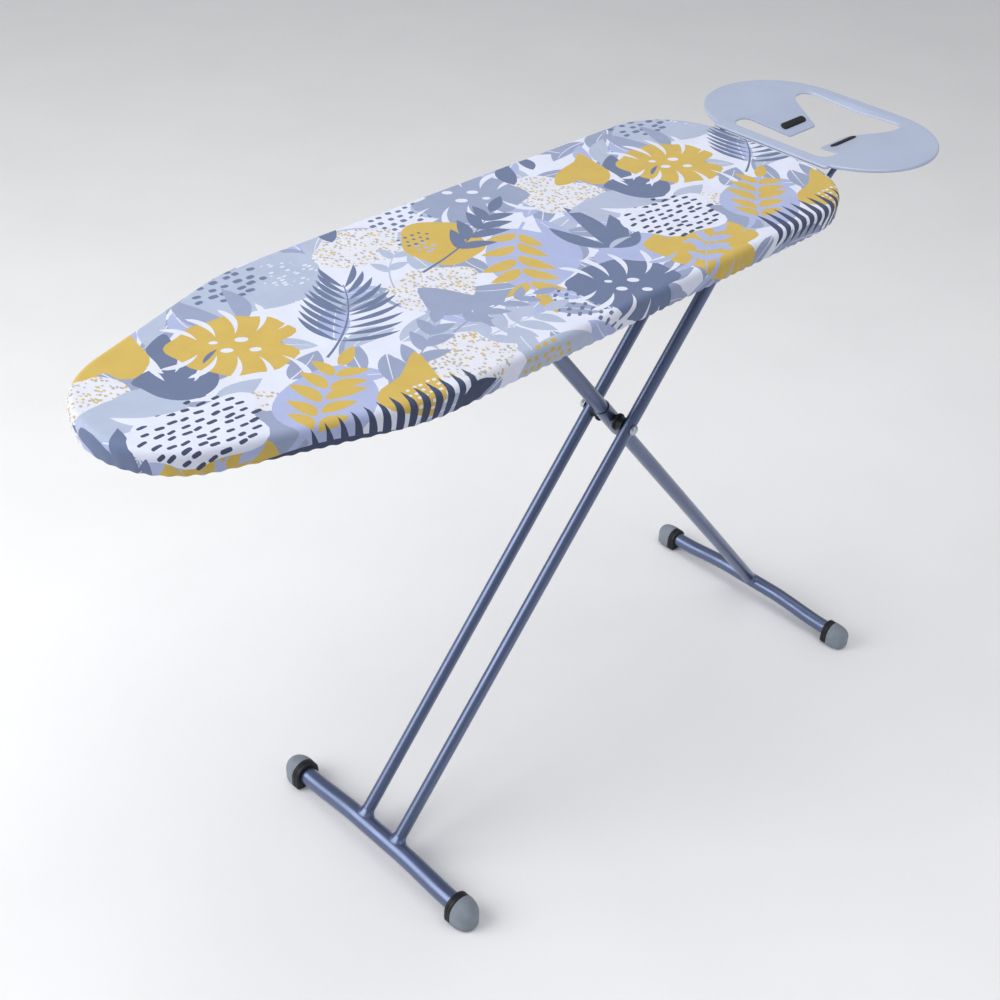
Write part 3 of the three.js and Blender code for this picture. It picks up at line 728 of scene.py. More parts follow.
def tulip(ink, gap_ink="ground"):
    """A broad cupped leaf with one tall prong and three slits."""
    bowl = [
        (-595, 44), (-568, 52), (-558, 36), (-533, 49), (-524, 24), (-515, 4),
        (-525, -14), (-541, -24), (-560, -26), (-578, -16), (-589, 2), (-593, 24),
    ]
    prong = [
        (-560, 28), (-553, 60), (-549, 84), (-539, 96), (-512, 107), (-516, 84), (-527, 60), (-543, 36),
    ]
    return [
        (ink, smooth_curve(bowl)),
        (ink, smooth_curve(prong)),
        leaf(gap_ink, (-565.5, 60), (-567, 24), 5.5, 0.02),
        leaf(gap_ink, (-524, 58), (-549, 31), 5.5, 0.06),
        leaf(gap_ink, (-525, 22), (-544, 3), 5, 0.06),
    ]


def patch_tile():
    """The patches of one repeat, which lie under the leaves."""
    return [
        blob("speckle", -646, 52, 46, 42, 1),
        blob("mist", -372, 128, 92, 60, 2, 0.16),
        blob("net", -322, 132, 34, 34, 3),
        blob("speckle", -216, 128, 64, 44, 4),
        blob("speckle", -214, -8, 62, 46, 5),
        blob("speckle", -286, -150, 54, 48, 6),
        blob("speckle", 76, 82, 50, 58, 7),
        blob("speckle", -520, -78, 34, 26, 8),
        blob("mist", -622, -8, 60, 34, 9, 0.2),
        blob("mist", -190, -208, 60, 30, 10),
        blob("lavender", 40, -96, 60, 34, 11),
        leaf("mist", (-560, -64), (-486, -38), 34, 0.1),
        blob("grey", -530, -128, 34, 40, 12, 0.2),
        leaf("grey", (-444, -40), (-420, 34), 30, 0.12),
    ]


def motif_tile():
    """The leaves and marks of one repeat, from the nose to a little past its width."""
    heart = [
        (-541, 140), (-546, 102), (-552, 74), (-567, 57), (-586, 49), (-601, 59),
        (-605, 78), (-627, 79), (-641, 88), (-619, 109), (-593, 119), (-566, 125),
    ]
    curl = [
        (-229, 3), (-246, -25), (-254, -48), (-243, -70), (-214, -78), (-175, -84), (-192, -50),
        (-208, -18),
    ]
    berry = [
        (-328, -102), (-340, -150), (-354, -184), (-380, -203), (-400, -190),
        (-422, -172), (-424, -152), (-407, -137), (-372, -129),
    ]
    hand = (((2, 14), 24, 0.08), ((59, 44), 28, -0.08), ((90, -10), 30, -0.1), ((84, -66), 24, -0.12))
    row = [(-530 + 16 * k, -212 - 1.4 * k) for k in range(13)]
    return [
        # Marks in loose rows.
        blob("ground", -592, -74, 68, 56, 13, 0.3),
        *dashes("slate", -396, 152, 58, 32, (19, 14), (11, 8), 20),
        *dashes("slate", -120, 160, 46, 42, (15, 13), (8, 7), 21),
        *dashes("navy", -590, -72, 66, 58, (17, 12), (11.5, 5.5), 22),
        *dashes("slate", -106, -150, 34, 64, (13, 12), (9, 5), 23, 0.5),
        *dashes("mustard", -204, -206, 42, 26, (12, 11), (7, 6), 24),

        # Pale leaves.
        leaf("mist", (-575, -34), (-690, 18), 44, -0.12),
        leaf("ground", (-598, -38), (-648, 2), 15, 0.14),
        leaf("mist", (-540, 84), (-478, 152), 30, 0.1),
        leaf("lavender", (-556, 100), (-520, 158), 24, 0.1),
        leaf("grey", (-446, 60), (-464, 168), 34, 0.08),
        leaf("grey", (-430, 70), (-404, 150), 24, -0.1),
        *sprig("mist", (-250, 20), (-170, 96), 0.1, 2, 36, 15, 0.8, 0.35),
        leaf("mist", (-330, 200), (-296, 150), 26, 0.1),

        # Split leaf at the far edge, and the dark leaves beside it.
        *monstera("grey", -20, 152, 76, -0.6),
        leaf("slate", (58, 132), (98, 192), 28, 0.08),
        leaf("slate", (112, 150), (122, 198), 20, -0.1),
        leaf("slate", (-232, 158), (-196, 206), 26, 0.1),

        # Mustard heart, tulip and split leaf by the nose.
        ("mustard", smooth_curve(heart)),
        *tulip("slate"),
        *monstera("mustard", -462, 33, 70, 2.56),
        leaf("slate", (-516, 27), (-487, 42), 6, 0.05),

        # Dark frond and the grey sprig below it.
        *palm("slate", (-408, -50), (-290, 66), -0.08, 10, 76, 8.5, 1.02),
        *sprig("grey", (-444, -158), (-262, -64), -0.06, 4, 50, 19, 0.62, 0.34, stalk=4),
        ("grey", smooth_curve(curl)),

        # Mustard fronds crossed by lavender ones.
        *crossed_frond((-520, -168), (-404, -70), 0.04, 46),
        *crossed_frond((-10, 46), (-132, -104), -0.1, 52),

        # Mustard patch with a dark sprig across it.
        blob("mustard", -128, 72, 56, 54, 32, 0.12, 0.4),
        *dashes("slate", -150, 100, 26, 16, (11, 10), (5, 5), 25),
        *dashes("lavender", -152, 74, 14, 18, (10, 10), (5, 6), 26),
        *sprig("slate", (-199, 28), (-16, 98), -0.05, 4, 58, 19, 0.68, 0.38, stalk=4),

        # Hand of dark leaves, and the dark split leaf.
        *(leaf("slate", (22, -74), tip, width, bow) for tip, width, bow in hand),
        leaf("mist", (18, -76), (66, -70), 9, 0.1),
        *monstera("slate", -28, -156, 69, 2.44),

        # Strawberry with pale seeds, and what shows along the near edge.
        ("mustard", smooth_curve(berry)),
        *dashes("ground", -368, -176, 30, 26, (9.5, 9), (5, 4), 27),
        *(leaf("navy", (x, y), (x + 24, y + 68), 10, -0.08) for x, y in row),
        *sprig("mist", (-262, -131), (-150, -131), 0.0, 4, 50, 20, 1.05, 0.12),
        *sprig("grey", (-268, -100), (-130, -96), 0.08, 4, 40, 15, 0.7, 0.2, stalk=3),
        leaf("navy", (-340, -214), (-284, -196), 24, 0.1),
        *monstera("mustard", 128, -150, 74, 2.5, "lavender"),
        *sprig("lavender", (70, -190), (160, -130), 0.06, 3, 40, 16, 0.8, 0.2),
    ]


# The print repeats this far along the board, and rises a little at each repeat.
TILE = 742
TILE_RISE = 9


def print_and_painted_shade():
    """The whole print: three layers of one tile, each repeated along the board, and a dark navy leaf shape
    that shows once, low on the near skirt by the nose: partly the print's navy and partly painted shade.
    """
    made = []
    for layer in (undergrowth(3), patch_tile(), motif_tile()):
        for k in (-1, 0, 1):
            for ink, points in layer:
                moved = [(x + k * TILE, y + k * TILE_RISE) for x, y in points]
                xs, ys = [p[0] for p in moved], [p[1] for p in moved]
                if max(xs) > NOSE_X - 60 and min(xs) < END_X + 60 and max(ys) > -250 and min(ys) < 250:
                    made.append((ink, moved))
    # Partly the print's navy and partly painted shade: a long dark band low on the near skirt by the nose,
    # where shade falls. It is not part of the repeat.
    made.append(leaf("navy", (-606, -152), (-398, -214), 34, 0.0))
    return made


def inside(points, loop):
    """Which points lie inside a closed outline, whichever way round it runs."""
    ring = np.array([(float(x), float(y)) for x, y in loop])
    x, y = points[:, 0][:, None], points[:, 1][:, None]
    x0, y0 = ring[:, 0], ring[:, 1]
    x1, y1 = np.roll(x0, -1), np.roll(y0, -1)
    rise = np.where(y1 == y0, 1e-9, y1 - y0)
    crosses = ((y0 > y) != (y1 > y)) & (x < x0 + (y - y0) / rise * (x1 - x0))
    return crosses.sum(1) % 2 == 1


def cut_flat(loose, loops, rails=()):
    """A flat triangulation that keeps every outline, and for each face the last outline it is inside.

    rails are closed lines that it keeps as well, but which own no faces.
    """
    coordinates = [Vector((float(x), float(y))) for x, y in loose]
    edges = []
    for loop in (*loops, *rails):
        start, n = len(coordinates), len(loop)
        coordinates.extend(Vector((float(x), float(y))) for x, y in loop)
        edges += [(start + i, start + (i + 1) % n) for i in range(n)]
    flat, _, faces, *_ = delaunay_2d_cdt(coordinates, edges, [], 0, 1e-3, False)
    flat = np.array([tuple(p) for p in flat])
    centres = np.array([flat[list(f)].mean(0) for f in faces])
    owner = np.full(len(faces), -1)
    for k, loop in enumerate(loops):
        ring = np.array([(float(x), float(y)) for x, y in loop])
        near = ((centres >= ring.min(0)) & (centres <= ring.max(0))).all(1).nonzero()[0]
        owner[near[inside(centres[near], loop)]] = k
    return flat, [tuple(f) for f in faces], owner


# ---- The cover ----

EDGE_RADIUS = 9
SKIRT_INSET, SKIRT_LIFT, TURN_RADIUS = 1.6, 4.6, 4
CURL_INSET, CURL_LIFT, CURL_RADIUS = 15, 0.4, 3.2
GATHERS = 150


def cover_section():
    """The cover's edge as (length from the flat top, inset from the outline, height).

    It rounds the edge, hangs down as a skirt, turns in under the board and ends in a curled hem.
    """
    rows = [(0.0, float(EDGE_RADIUS), float(TOP_Z))]

    def to(inset, z):
        length, i, h = rows[-1]
        rows.append((length + math.hypot(inset - i, z - h), inset, z))

    for k in range(1, 9):
        a = math.pi / 2 * k / 8
        to(EDGE_RADIUS * (1 - math.sin(a)), TOP_Z - EDGE_RADIUS * (1 - math.cos(a)))
    to(0.6, 896)
    to(SKIRT_INSET, HEM_Z + SKIRT_LIFT)
    for k in range(1, 5):
        a = math.pi / 2 * k / 4
        to(
            SKIRT_INSET + TURN_RADIUS * (1 - math.cos(a)),
            HEM_Z + SKIRT_LIFT - TURN_RADIUS * math.sin(a),
        )
    to(CURL_INSET, HEM_Z + CURL_LIFT)
    for k in range(1, 9):
        a = math.pi * 1.5 * k / 8
        to(CURL_INSET + CURL_RADIUS * math.sin(a), HEM_Z + CURL_LIFT + CURL_RADIUS * (1 - math.cos(a)))
    return np.array(rows)


SECTION = cover_section()
CLOTH_REACH = SECTION[-1][0]
fine = outline_samples(2.2)


def nearest_on_core(flat):
    """For flat points: the outline position and normal beside each, its length along, and how far out."""
    points, normals, along = fine
    core = points - EDGE_RADIUS * normals
    count = len(core)
    ahead = np.linalg.norm(np.roll(points, -1, 0) - points, axis=1)
    base, normal, length, out = [], [], [], []
    for start in range(0, len(flat), 1500):
        p = flat[start : start + 1500]
        i = ((p[:, None, :] - core[None]) ** 2).sum(2).argmin(1)
        off = normals[i, 0] * (p - core[i])[:, 1] - normals[i, 1] * (p - core[i])[:, 0]
        j = np.where(off > 0, i + 1, i - 1) % count
        beyond = normals[j, 0] * (p - core[j])[:, 1] - normals[j, 1] * (p - core[j])[:, 0]
        t = np.clip(off / np.where(off == beyond, 1, off - beyond), 0, 1)[:, None]
        n = normals[i] * (1 - t) + normals[j] * t
        n /= np.linalg.norm(n, axis=1)[:, None]
        at = points[i] * (1 - t) + points[j] * t
        base.append(at)
        normal.append(n)
        length.append(along[i] + np.where(off > 0, ahead[i], -ahead[j]) * t[:, 0])
        out.append(((p - at) * n).sum(1) + EDGE_RADIUS)
    return np.concatenate(base), np.concatenate(normal), np.concatenate(length), np.concatenate(out)


def noise_rows(points, scale, seed):
    """Soft noise at each point, from about -1 to 1."""
    return np.array([noise.noise(Vector((x * scale, y * scale, seed))) for x, y in points])


def draped(flat):
    """Where each flat point of the cloth lies on the board: smooth on top, gathered towards the hem."""
    base, normal, length, out = nearest_on_core(flat)
    s = np.clip(out, 0, CLOTH_REACH)

    def section(column, shift=0.0):
        return np.interp(s + shift, SECTION[:, 0], SECTION[:, column])

    inset, z = section(1), section(2)
    slope_in, slope_z = (section(c, 0.4) - section(c, -0.4) for c in (1, 2))
    size = np.hypot(slope_in, slope_z) + 1e-9
    perimeter = fine[2][-1]
    phase = 2 * math.pi * GATHERS * length / perimeter + 2.6 * noise_rows(base, 0.012, 3.1)
    depth = (0.55 + 0.45 * noise_rows(base, 0.05, 8.7)) * (0.28 * ease(s, 6, 20) + ease(s, 26, 40))
    ripple = np.sin(phase) * depth
    outward = -slope_z / size * ripple
    xy = base - inset[:, None] * normal + outward[:, None] * normal
    z = z - slope_in / size * ripple
    flat_z = TOP_Z + 0.45 * noise_rows(flat, 0.011, 1.3) + 0.12 * noise_rows(flat, 0.04, 5.3)
    top_fade = 1 - ease(out, -12, 0)
    on_top = out <= 0
    xy = np.where(on_top[:, None], flat, xy)
    z = np.where(on_top, TOP_Z + (flat_z - TOP_Z) * top_fade, z)
    return np.concatenate([xy, z[:, None]], 1)


def flat_rows():
    """Lines of the flat cut that follow the edge, close together where the cloth bends."""
    points, normals, _ = fine
    bends = [
        0, 2.4, 4.7, 7.1, 9.4, 11.8, 14.1, 18, 22.5, 27, 31, 33.2, 34.8, 36.4, 38, 42, 46.5, 49, 51.5, 54,
        56.5, 59,
    ]
    return [points - (EDGE_RADIUS - s) * normals for s in bends if s < CLOTH_REACH - 1.2]


def flat_grid():
    """Points of the flat cut on top of the board, in an even triangular grid."""
    pitch = 9
    grid = np.array([
        (x + (pitch / 2 if j % 2 else 0), y)
        for j, y in enumerate(np.arange(-HALF_WIDTH, HALF_WIDTH, pitch * 0.866))
        for x in np.arange(NOSE_X, END_X, pitch)
    ])
    return grid[nearest_on_core(grid)[3] < -5]


def finely(loop, longest=4.0):
    """The same closed outline with no edge longer than longest."""
    p = np.array([(float(x), float(y)) for x, y in loop])
    out = []
    for a, b in zip(p, np.roll(p, -1, 0)):
        parts = max(1, math.ceil(np.linalg.norm(b - a) / longest))
        out.extend(a + (b - a) * i / parts for i in range(parts))
    return out


def build_cover():
    """The cloth as one mesh, cut along every printed outline and the band of painted shade, each patch in
    its own ink.
    """
    names = list(INKS)
    boundary = fine[0] + (CLOTH_REACH - EDGE_RADIUS) * fine[1]
    shapes = [("ground", boundary), *print_and_painted_shade()]
    flat, faces, owner = cut_flat(flat_grid(), [finely(outline) for _, outline in shapes], flat_rows())
    within = inside(np.array([flat[list(f)].mean(0) for f in faces]), boundary)
    kept = [(f, names.index(shapes[k][0])) for f, k, ok in zip(faces, owner, within) if ok]
    placed = draped(flat)
    nudge = 0.25
    across = draped(flat + (nudge, 0)) - draped(flat - (nudge, 0))
    along = draped(flat + (0, nudge)) - draped(flat - (0, nudge))
    normals = np.cross(across, along)
    normals /= np.linalg.norm(normals, axis=1)[:, None] + 1e-12

    mesh = bpy.data.meshes.new("printed_cover")
    mesh.from_pydata([tuple(p * MM) for p in placed], [], [f for f, _ in kept])
    for name in names:
        mesh.materials.append(INKS[name])
    mesh.polygons.foreach_set("material_index", [ink for _, ink in kept])
    mesh.polygons.foreach_set("use_smooth", [True] * len(kept))
    attribute = mesh.attributes.new("flat", "FLOAT_VECTOR", "POINT")
    spread = np.concatenate([flat * MM, np.zeros((len(flat), 1))], 1)
    attribute.data.foreach_set("vector", spread.astype(np.float32).ravel())
    mesh.normals_split_custom_set_from_vertices([tuple(n) for n in normals])
    mesh.update()
    obj = shown("printed_cover", mesh)
    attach(obj, "board")
    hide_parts("fabric_cover")


# ---- The top's layers ----


def build_pad():
    section = [(6, 901.2), (3.6, 902.4), (3, 905), (3, 909), (4.6, 912.3), (8.5, 914.0)]
    samples = outline_samples(6)
    rings = [ring_at(samples, inset, z) for inset, z in section]
    pad = piece("pad", capped(rings), "board", FELT, ["felt_pad"])


def build_mesh_top():
    """Expanded steel mesh: diamond holes between thin strands, with a plain rolled margin."""
    long_way, short_way, strand = ((14, 7, 1.9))
    samples = outline_samples(8)
    points, normals, _ = samples
    first_inset, last_inset = 4, 21
    margin = points - (last_inset - first_inset) * normals
    edge_ahead = np.roll(margin, -1, 0) - margin

    # The middle of each diamond, and how far it lies outside the margin.
    centres = []
    rows = int(HALF_WIDTH / (short_way / 2)) + 1
    for j in range(-rows, rows + 1):
        shift = long_way / 2 if j % 2 else 0
        for i in range(int((END_X - NOSE_X) / long_way) + 1):
            centres.append((NOSE_X + i * long_way + shift, j * short_way / 2))
    centres = np.array(centres)
    gap = centres[:, None, :] - margin[None]
    t = np.clip((gap * edge_ahead[None]).sum(2) / (edge_ahead**2).sum(1)[None], 0, 1)
    miss = gap - t[..., None] * edge_ahead[None]
    best = (miss**2).sum(2).argmin(1)
    out = (miss[np.arange(len(centres)), best] * normals[best]).sum(1)

    half = (long_way / 2, short_way / 2)
    inner = (half[0] - strand * 1.5, half[1] - strand * 0.62)
    lift = (0.55, 0, 0.55, 0)
    faces = [(k, (k + 1) % 4, 4 + (k + 1) % 4, 4 + k) for k in range(4)]
    shapes = []
    for x, y in centres[out <= -1]:
        ring = []
        for (w, d), share in ((half, 1), (inner, 0.6)):
            for (u, v), h in zip(((w, 0), (0, d), (-w, 0), (0, -d)), lift):
                ring.append((x + u, y + v, SHEET_Z + 0.2 + h * share))
        shapes.append((ring, faces))
    strands = weld(*joined(*shapes), 0.05)
    thicken(piece("expanded_mesh", strands, "board", STEEL, ["mesh_top"]), 0.6, 0)
    low, high = SHEET_Z, SHEET_Z + 0.8
    section = [(first_inset, low), (first_inset, high), (last_inset, high), (last_inset, low)]
    border = strips([ring_at(samples, inset, z) for inset, z in [*section, section[0]]])
    piece("mesh_margin", weld(*border), "board", STEEL)


def build_rim():
    ring = ring_at(outline_samples(6), RIM_INSET, RIM_Z)
    piece("rim", sweep(ring, RIM_RADIUS, 20, closed=True), "board", STEEL, ["rim_frame"])
    level = ring_at(outline_samples(4), 15.2, HEM_Z + 3.6)
    cord = [(x, y, z + 0.5 * math.sin(i * 0.9)) for i, (x, y, z) in enumerate(level)]
    piece("elastic_cord", sweep(cord, 1.7, 10, closed=True), "board", BRAID, ["hem_elastic"])


# ---- Legs ----


def on_leg(slope, distance, y=0.0):
    """A point on a leg, that far below the crossing."""
    across, down = distance * math.cos(LEG_ANGLE), distance * math.sin(LEG_ANGLE)
    return Vector((CROSSING.x + slope * across, y, CROSSING.z - down))


def foot_reach(foot):
    """How far below the crossing the leg meets its foot bar."""
    return (CROSSING.z - foot["z"]) / math.sin(LEG_ANGLE)


def foot_x(foot):
    return on_leg(foot["slope"], foot_reach(foot)).x


def weld_fillet(foot, y, radius):
    """The smooth weld where a leg tube meets its foot bar: it flares out from the tube onto the bar."""
    x0, z0, slope = foot_x(foot), foot["z"], foot["slope"]
    down = (on_leg(slope, 1) - on_leg(slope, 0)).normalized()
    across = Vector((-down.z, 0, down.x))
    steps, rise, flare_sideways = 9, 10, 9
    flare_along = min(foot["radius"] - radius - 0.6, 3.8)
    rings = []
    for i in range(steps + 1):
        quarter = math.pi / 2 * i / steps
        ring = []
        for a in round_angles(56):
            widest = flare_along * math.cos(a) ** 2 + flare_sideways * math.sin(a) ** 2
            ripple = 0.12 * math.sin(9 * a) * math.sin(2 * quarter)
            r = radius - 0.1 + widest * (1 - math.cos(quarter)) + ripple
            offset = across * (r * math.cos(a)) + Vector((0, 1, 0)) * (r * math.sin(a))
            # From well above, down along the leg until it reaches the round foot bar.
            start = Vector((x0, y, z0)) + offset - down * 60
            b = (start.x - x0) * down.x + (start.z - z0) * down.z
            c = (start.x - x0) ** 2 + (start.z - z0) ** 2 - (foot["radius"] - 0.25) ** 2
            travel = -b - math.sqrt(max(0.0, b * b - c))
            ring.append(start + down * (travel - rise * (1 - math.sin(quarter))))
        rings.append(ring)
    return strips(rings)


def leg_tube(foot, y, radius):
    """A leg's tube, open at the top, with the weld on its foot bar."""
    length = foot_reach(foot) - foot["radius"] * 0.7
    stations = np.linspace(-UPPER_LENGTH - TUBE_OVERRUN, length, 40)
    path = [on_leg(foot["slope"], d, y) for d in stations]
    return joined(sweep(path, radius, 36, wall=TUBE_WALL), weld_fillet(foot, y, radius))


def end_plug(foot, y, radius):
    """A ribbed plastic plug in the open upper end of a leg tube."""
    top = -UPPER_LENGTH - TUBE_OVERRUN
    steps = [(-2.6, 0.4), (-2.4, 0.72), (-1.9, 0.92), (-1.2, 1.0), (-0.3, 1.0), (-0.29, 0.84), (6, 0.82)]
    path = [on_leg(foot["slope"], top + d, y) for d, _ in steps]
    return sweep(path, [r * radius for _, r in steps], 28)


def bar_path(foot):
    """A foot bar's centre line: level in the middle, and bent down to its two ends."""
    path = []
    for y in np.linspace(-foot["half"], foot["half"], 64):
        t = float(ease(abs(y), foot["half"] * 0.25, foot["collar_y"] - 8))
        path.append((foot_x(foot), y, foot["z"] + (foot["end_z"] - foot["z"]) * t))
    return path


def boot_ring(foot, y, radius, drop):
    """A foot's section: a half circle above, and straight sides below down to a flat sole."""
    x, z = foot_x(foot), foot["end_z"]
    ring = []
    for a in round_angles(64):
        c, s = math.cos(a), math.sin(a)
        if s >= 0:
            ring.append((x + radius * c, y, z + radius * s))
        else:
            ring.append((x + radius * squared(c, 0.3), y, z - drop * abs(s) ** 0.3))
    return ring


def collar(foot, side):
    """A moulded ring with rounded lips and a shallow groove, between the bar and its cap."""
    radius, z0, start = foot["cap"], foot["end_z"], foot["collar_y"]
    steps = [
        (0, -5), (0, -2.2), (0.5, -1.1), (1.6, -0.5), (4.4, -0.4), (5.2, -1.3), (6.4, -1.3), (7.2, -0.4),
        (COLLAR_LENGTH - 1, -0.4), (COLLAR_LENGTH - 0.2, -1), (COLLAR_LENGTH, -4),
    ]
    rings = [boot_ring(foot, side * (start + along), radius + grow, z0 + grow) for along, grow in steps]
    bore = [(x, z) for x, z in arc(foot_x(foot), z0, foot["radius"] + 0.3, 0, 2 * math.pi, 64)[:-1]]
    for along in (COLLAR_LENGTH, 0.5):
        rings.append([(x, side * (start + along), z) for x, z in bore])
    rings.append(rings[0])
    return weld(*strips(rings))


def cap(foot, side):
    """A rubber foot cap: round above, straight sided below with a flat sole, and domed at its end."""
    inner = foot["collar_y"] + COLLAR_LENGTH + 0.3
    blunt = foot["blunt"]
    rings = []
    stations = (
        -0.05, 0, 0.02, 0.05, 0.12, 0.22, 0.34, 0.46, 0.58, 0.68, 0.77, 0.85, 0.91, 0.955, 0.985, 0.998,
    )
    for t in stations:
        lip = 0.93 if t < 0 else min(1, 0.97 + 1.5 * t)
        t = max(t, 0)
        radius = foot["cap"] * (lip * (1 - t**blunt) ** (1 / blunt))
        drop = foot["end_z"] * (1 - t**7) ** (1 / 7)
        rings.append(boot_ring(foot, side * (inner + t * foot["length"]), radius, drop))
    return capped(rings)


def build_foot(leg, foot):
    body = f"{leg}_leg"
    bar = sweep(bar_path(foot), foot["radius"], 36, wall=TUBE_WALL)
    piece(f"{leg}_bar", bar, body, STEEL, [f"{leg}_foot_bar"])
    for name, side in SIDES:
        piece(f"{leg}_ring_{name}", collar(foot, side), body, BLACK, [f"{leg}_collar_{name}"])
        piece(f"{leg}_shoe_{name}", cap(foot, side), body, CAP_GREY, [f"{leg}_cap_{name}"], 55)


def domed_bolt(x, z, head_y, tip_y, radius=8.0, height=5.0):
    """A bolt along Y: a domed head on the near side, and a threaded tip past the nut."""
    profile = [(0.01, head_y - height)]
    for k in range(1, 9):
        a = math.pi / 2 * k / 8
        profile.append((radius * math.sin(a), head_y - height * math.cos(a)))
    thread, pitch = tip_y - 9, 0.7
    profile += [(radius + 0.1, head_y - 0.1), (4, head_y), (4, thread)]
    while thread < tip_y - 1.2:
        profile += [(4.0, thread + pitch / 2), (3.45, thread + pitch)]
        thread += pitch
    profile += [(3.4, tip_y - 0.5), (2.6, tip_y), (0.01, tip_y)]
    return lathe(profile, x, z, 32)


def hex_nut(x, z, y, height=6.5, radius=7.6):
    """A hexagon nut along Y with chamfered corners."""
    profile = [
        (4.1, 0), (radius * 0.86, 0), (radius, 0.9), (radius, height - 0.9), (radius * 0.86, height),
        (4.1, height),
    ]
    rings = []
    for r, h in profile:
        ring = []
        for a in round_angles(36):
            flat = radius * 0.866 / math.cos((a + math.pi / 6) % (math.pi / 3) - math.pi / 6)
            reach = min(r, flat) if r > 5 else r
            ring.append((x + reach * math.cos(a), y + h, z + reach * math.sin(a)))
        rings.append(ring)
    rings.append(rings[0])
    return weld(*strips(rings))


def build_legs():
    for name, side in SIDES:
        where = (FRONT_FOOT, side * FRONT_TUBE_Y, FRONT_TUBE_RADIUS)
        piece(f"front_leg_{name}", leg_tube(*where), "front_leg", STEEL, [f"front_tube_{name}"])
        piece(f"front_stopper_{name}", end_plug(*where), "front_leg", BLACK, [f"front_plug_{name}"])
    where = (REAR_FOOT, 0, REAR_TUBE_RADIUS)
    piece("rear_leg_tube", leg_tube(*where), "rear_leg", STEEL, ["rear_tube"])
    piece("rear_stopper", end_plug(*where), "rear_leg", BLACK, ["rear_plug"])
    build_foot("front", FRONT_FOOT)
    build_foot("rear", REAR_FOOT)


def build_pivots():
    # Scissor pivot: a sleeve round the rear tube, black spacers, a bolt with its washer, and a nut.
    x, z = CROSSING.x, CROSSING.z
    path = [on_leg(1, d) for d in np.linspace(-34, 34, 9)]
    sleeve = sweep(path, REAR_TUBE_RADIUS + 1.6, 36, wall=1.4)
    profile = [(4.3, 9), (9.5, 9), (9.5, 13.2), (8.9, 13.9), (4.3, 14)]
    saddle = joined(sleeve, *(lathe(profile, x, z, 36, side) for _, side in SIDES))
    piece("pivot_sleeve", saddle, "rear_leg", STEEL, ["pivot_saddle_near", "pivot_saddle_far"])
    profile = [
        (4.4, 14.4), (12.4, 14.4), (13, 15), (13, 17.6), (12.4, 18.2), (10.2, 19.4), (10.2, 24),
        (11.4, 26.8), (11.4, 30), (4.4, 30), (4.4, 14.4),
    ]
    for name, side in SIDES:
        spacer = lathe(profile, x, z, 44, side)
        piece(f"spacer_{name}", spacer, "front_leg", BLACK, [f"pivot_spacer_{name}"])
    outer = FRONT_TUBE_Y + FRONT_TUBE_RADIUS
    start = outer - 1.0
    profile = [
        (4.2, start), (8.2, start), (8.5, start + 0.3), (8.5, start + 0.9), (8.2, start + 1.2),
        (4.2, start + 1.2), (4.2, start),
    ]
    bolt = joined(domed_bolt(x, z, -outer - 0.3, outer + 8.3), lathe(profile, x, z, 36))
    piece("scissor_bolt", bolt, "front_leg", ZINC, ["pivot_bolt"])
    piece("scissor_nut", hex_nut(x, z, outer + 0.3), "front_leg", ZINC, ["pivot_nut"])

    # Hinge of the front legs.
    head = 50.3
    bolt = domed_bolt(HINGE_X, HINGE_Z, -head, head + 9)
    piece("hinge_pin_bolt", bolt, "board", ZINC, ["hinge_bolt"])
    piece("hinge_lock_nut", hex_nut(HINGE_X, HINGE_Z, head), "board", ZINC, ["hinge_nut"])
    end = FRONT_TUBE_Y - FRONT_TUBE_RADIUS - 0.3
    profile = [
        (4.4, -end), (6.6, -end), (7, 0.4 - end), (7, end - 0.4), (6.6, end), (4.4, end), (4.4, -end),
    ]
    tube = lathe(profile, HINGE_X, HINGE_Z, 32)
    piece("hinge_spacer_tube", tube, "front_leg", ZINC, ["hinge_sleeve"])

    # Slide pin and its nylon bushes.
    profile = [(0.01, -25), (3.4, -25), (4, -24.4), (4, 24.4), (3.4, 25), (0.01, 25)]
    piece("slide_rod", lathe(profile, SLIDE_X, HINGE_Z, 28), "rear_leg", ZINC, ["slide_pin"])
    profile = [(4.3, 11.3), (7.6, 11.3), (8, 11.7), (8, 15.3), (7.6, 15.7), (4.3, 15.7), (4.3, 11.3)]
    for name, side in SIDES:
        bush = lathe(profile, SLIDE_X, HINGE_Z, 32, side)
        piece(f"slide_ring_{name}", bush, "rear_leg", NYLON, [f"slide_bush_{name}"])


# ---- Iron rest ----


def rest_outline(grow):
    """The plate's plan: two round lobes, a straight outer bar, and a short neck towards the board."""
    r, corner = REST_HALF + grow, 5 + grow
    neck_x, neck_y = NECK_X - grow, NECK_Y + grow
    meet = REST_X - math.sqrt(r * r - (neck_y - REST_LOBE_Y) ** 2)
    start = math.atan2(neck_y - REST_LOBE_Y, meet - REST_X)
    half = arc(REST_X, REST_LOBE_Y, r, 0, start, 60)
    half += arc(neck_x + corner, neck_y - corner, corner, math.pi / 2, math.pi / 2, 6)
    half += [(neck_x, (neck_y - corner) * (1 - i / 12)) for i in range(1, 13)]
    mirrored = [(x, -y) for x, y in reversed(half[:-1])]
    outer = [(REST_X + r, -REST_LOBE_Y * (1 - i / 6)) for i in range(1, 12)]
    return half + mirrored + outer


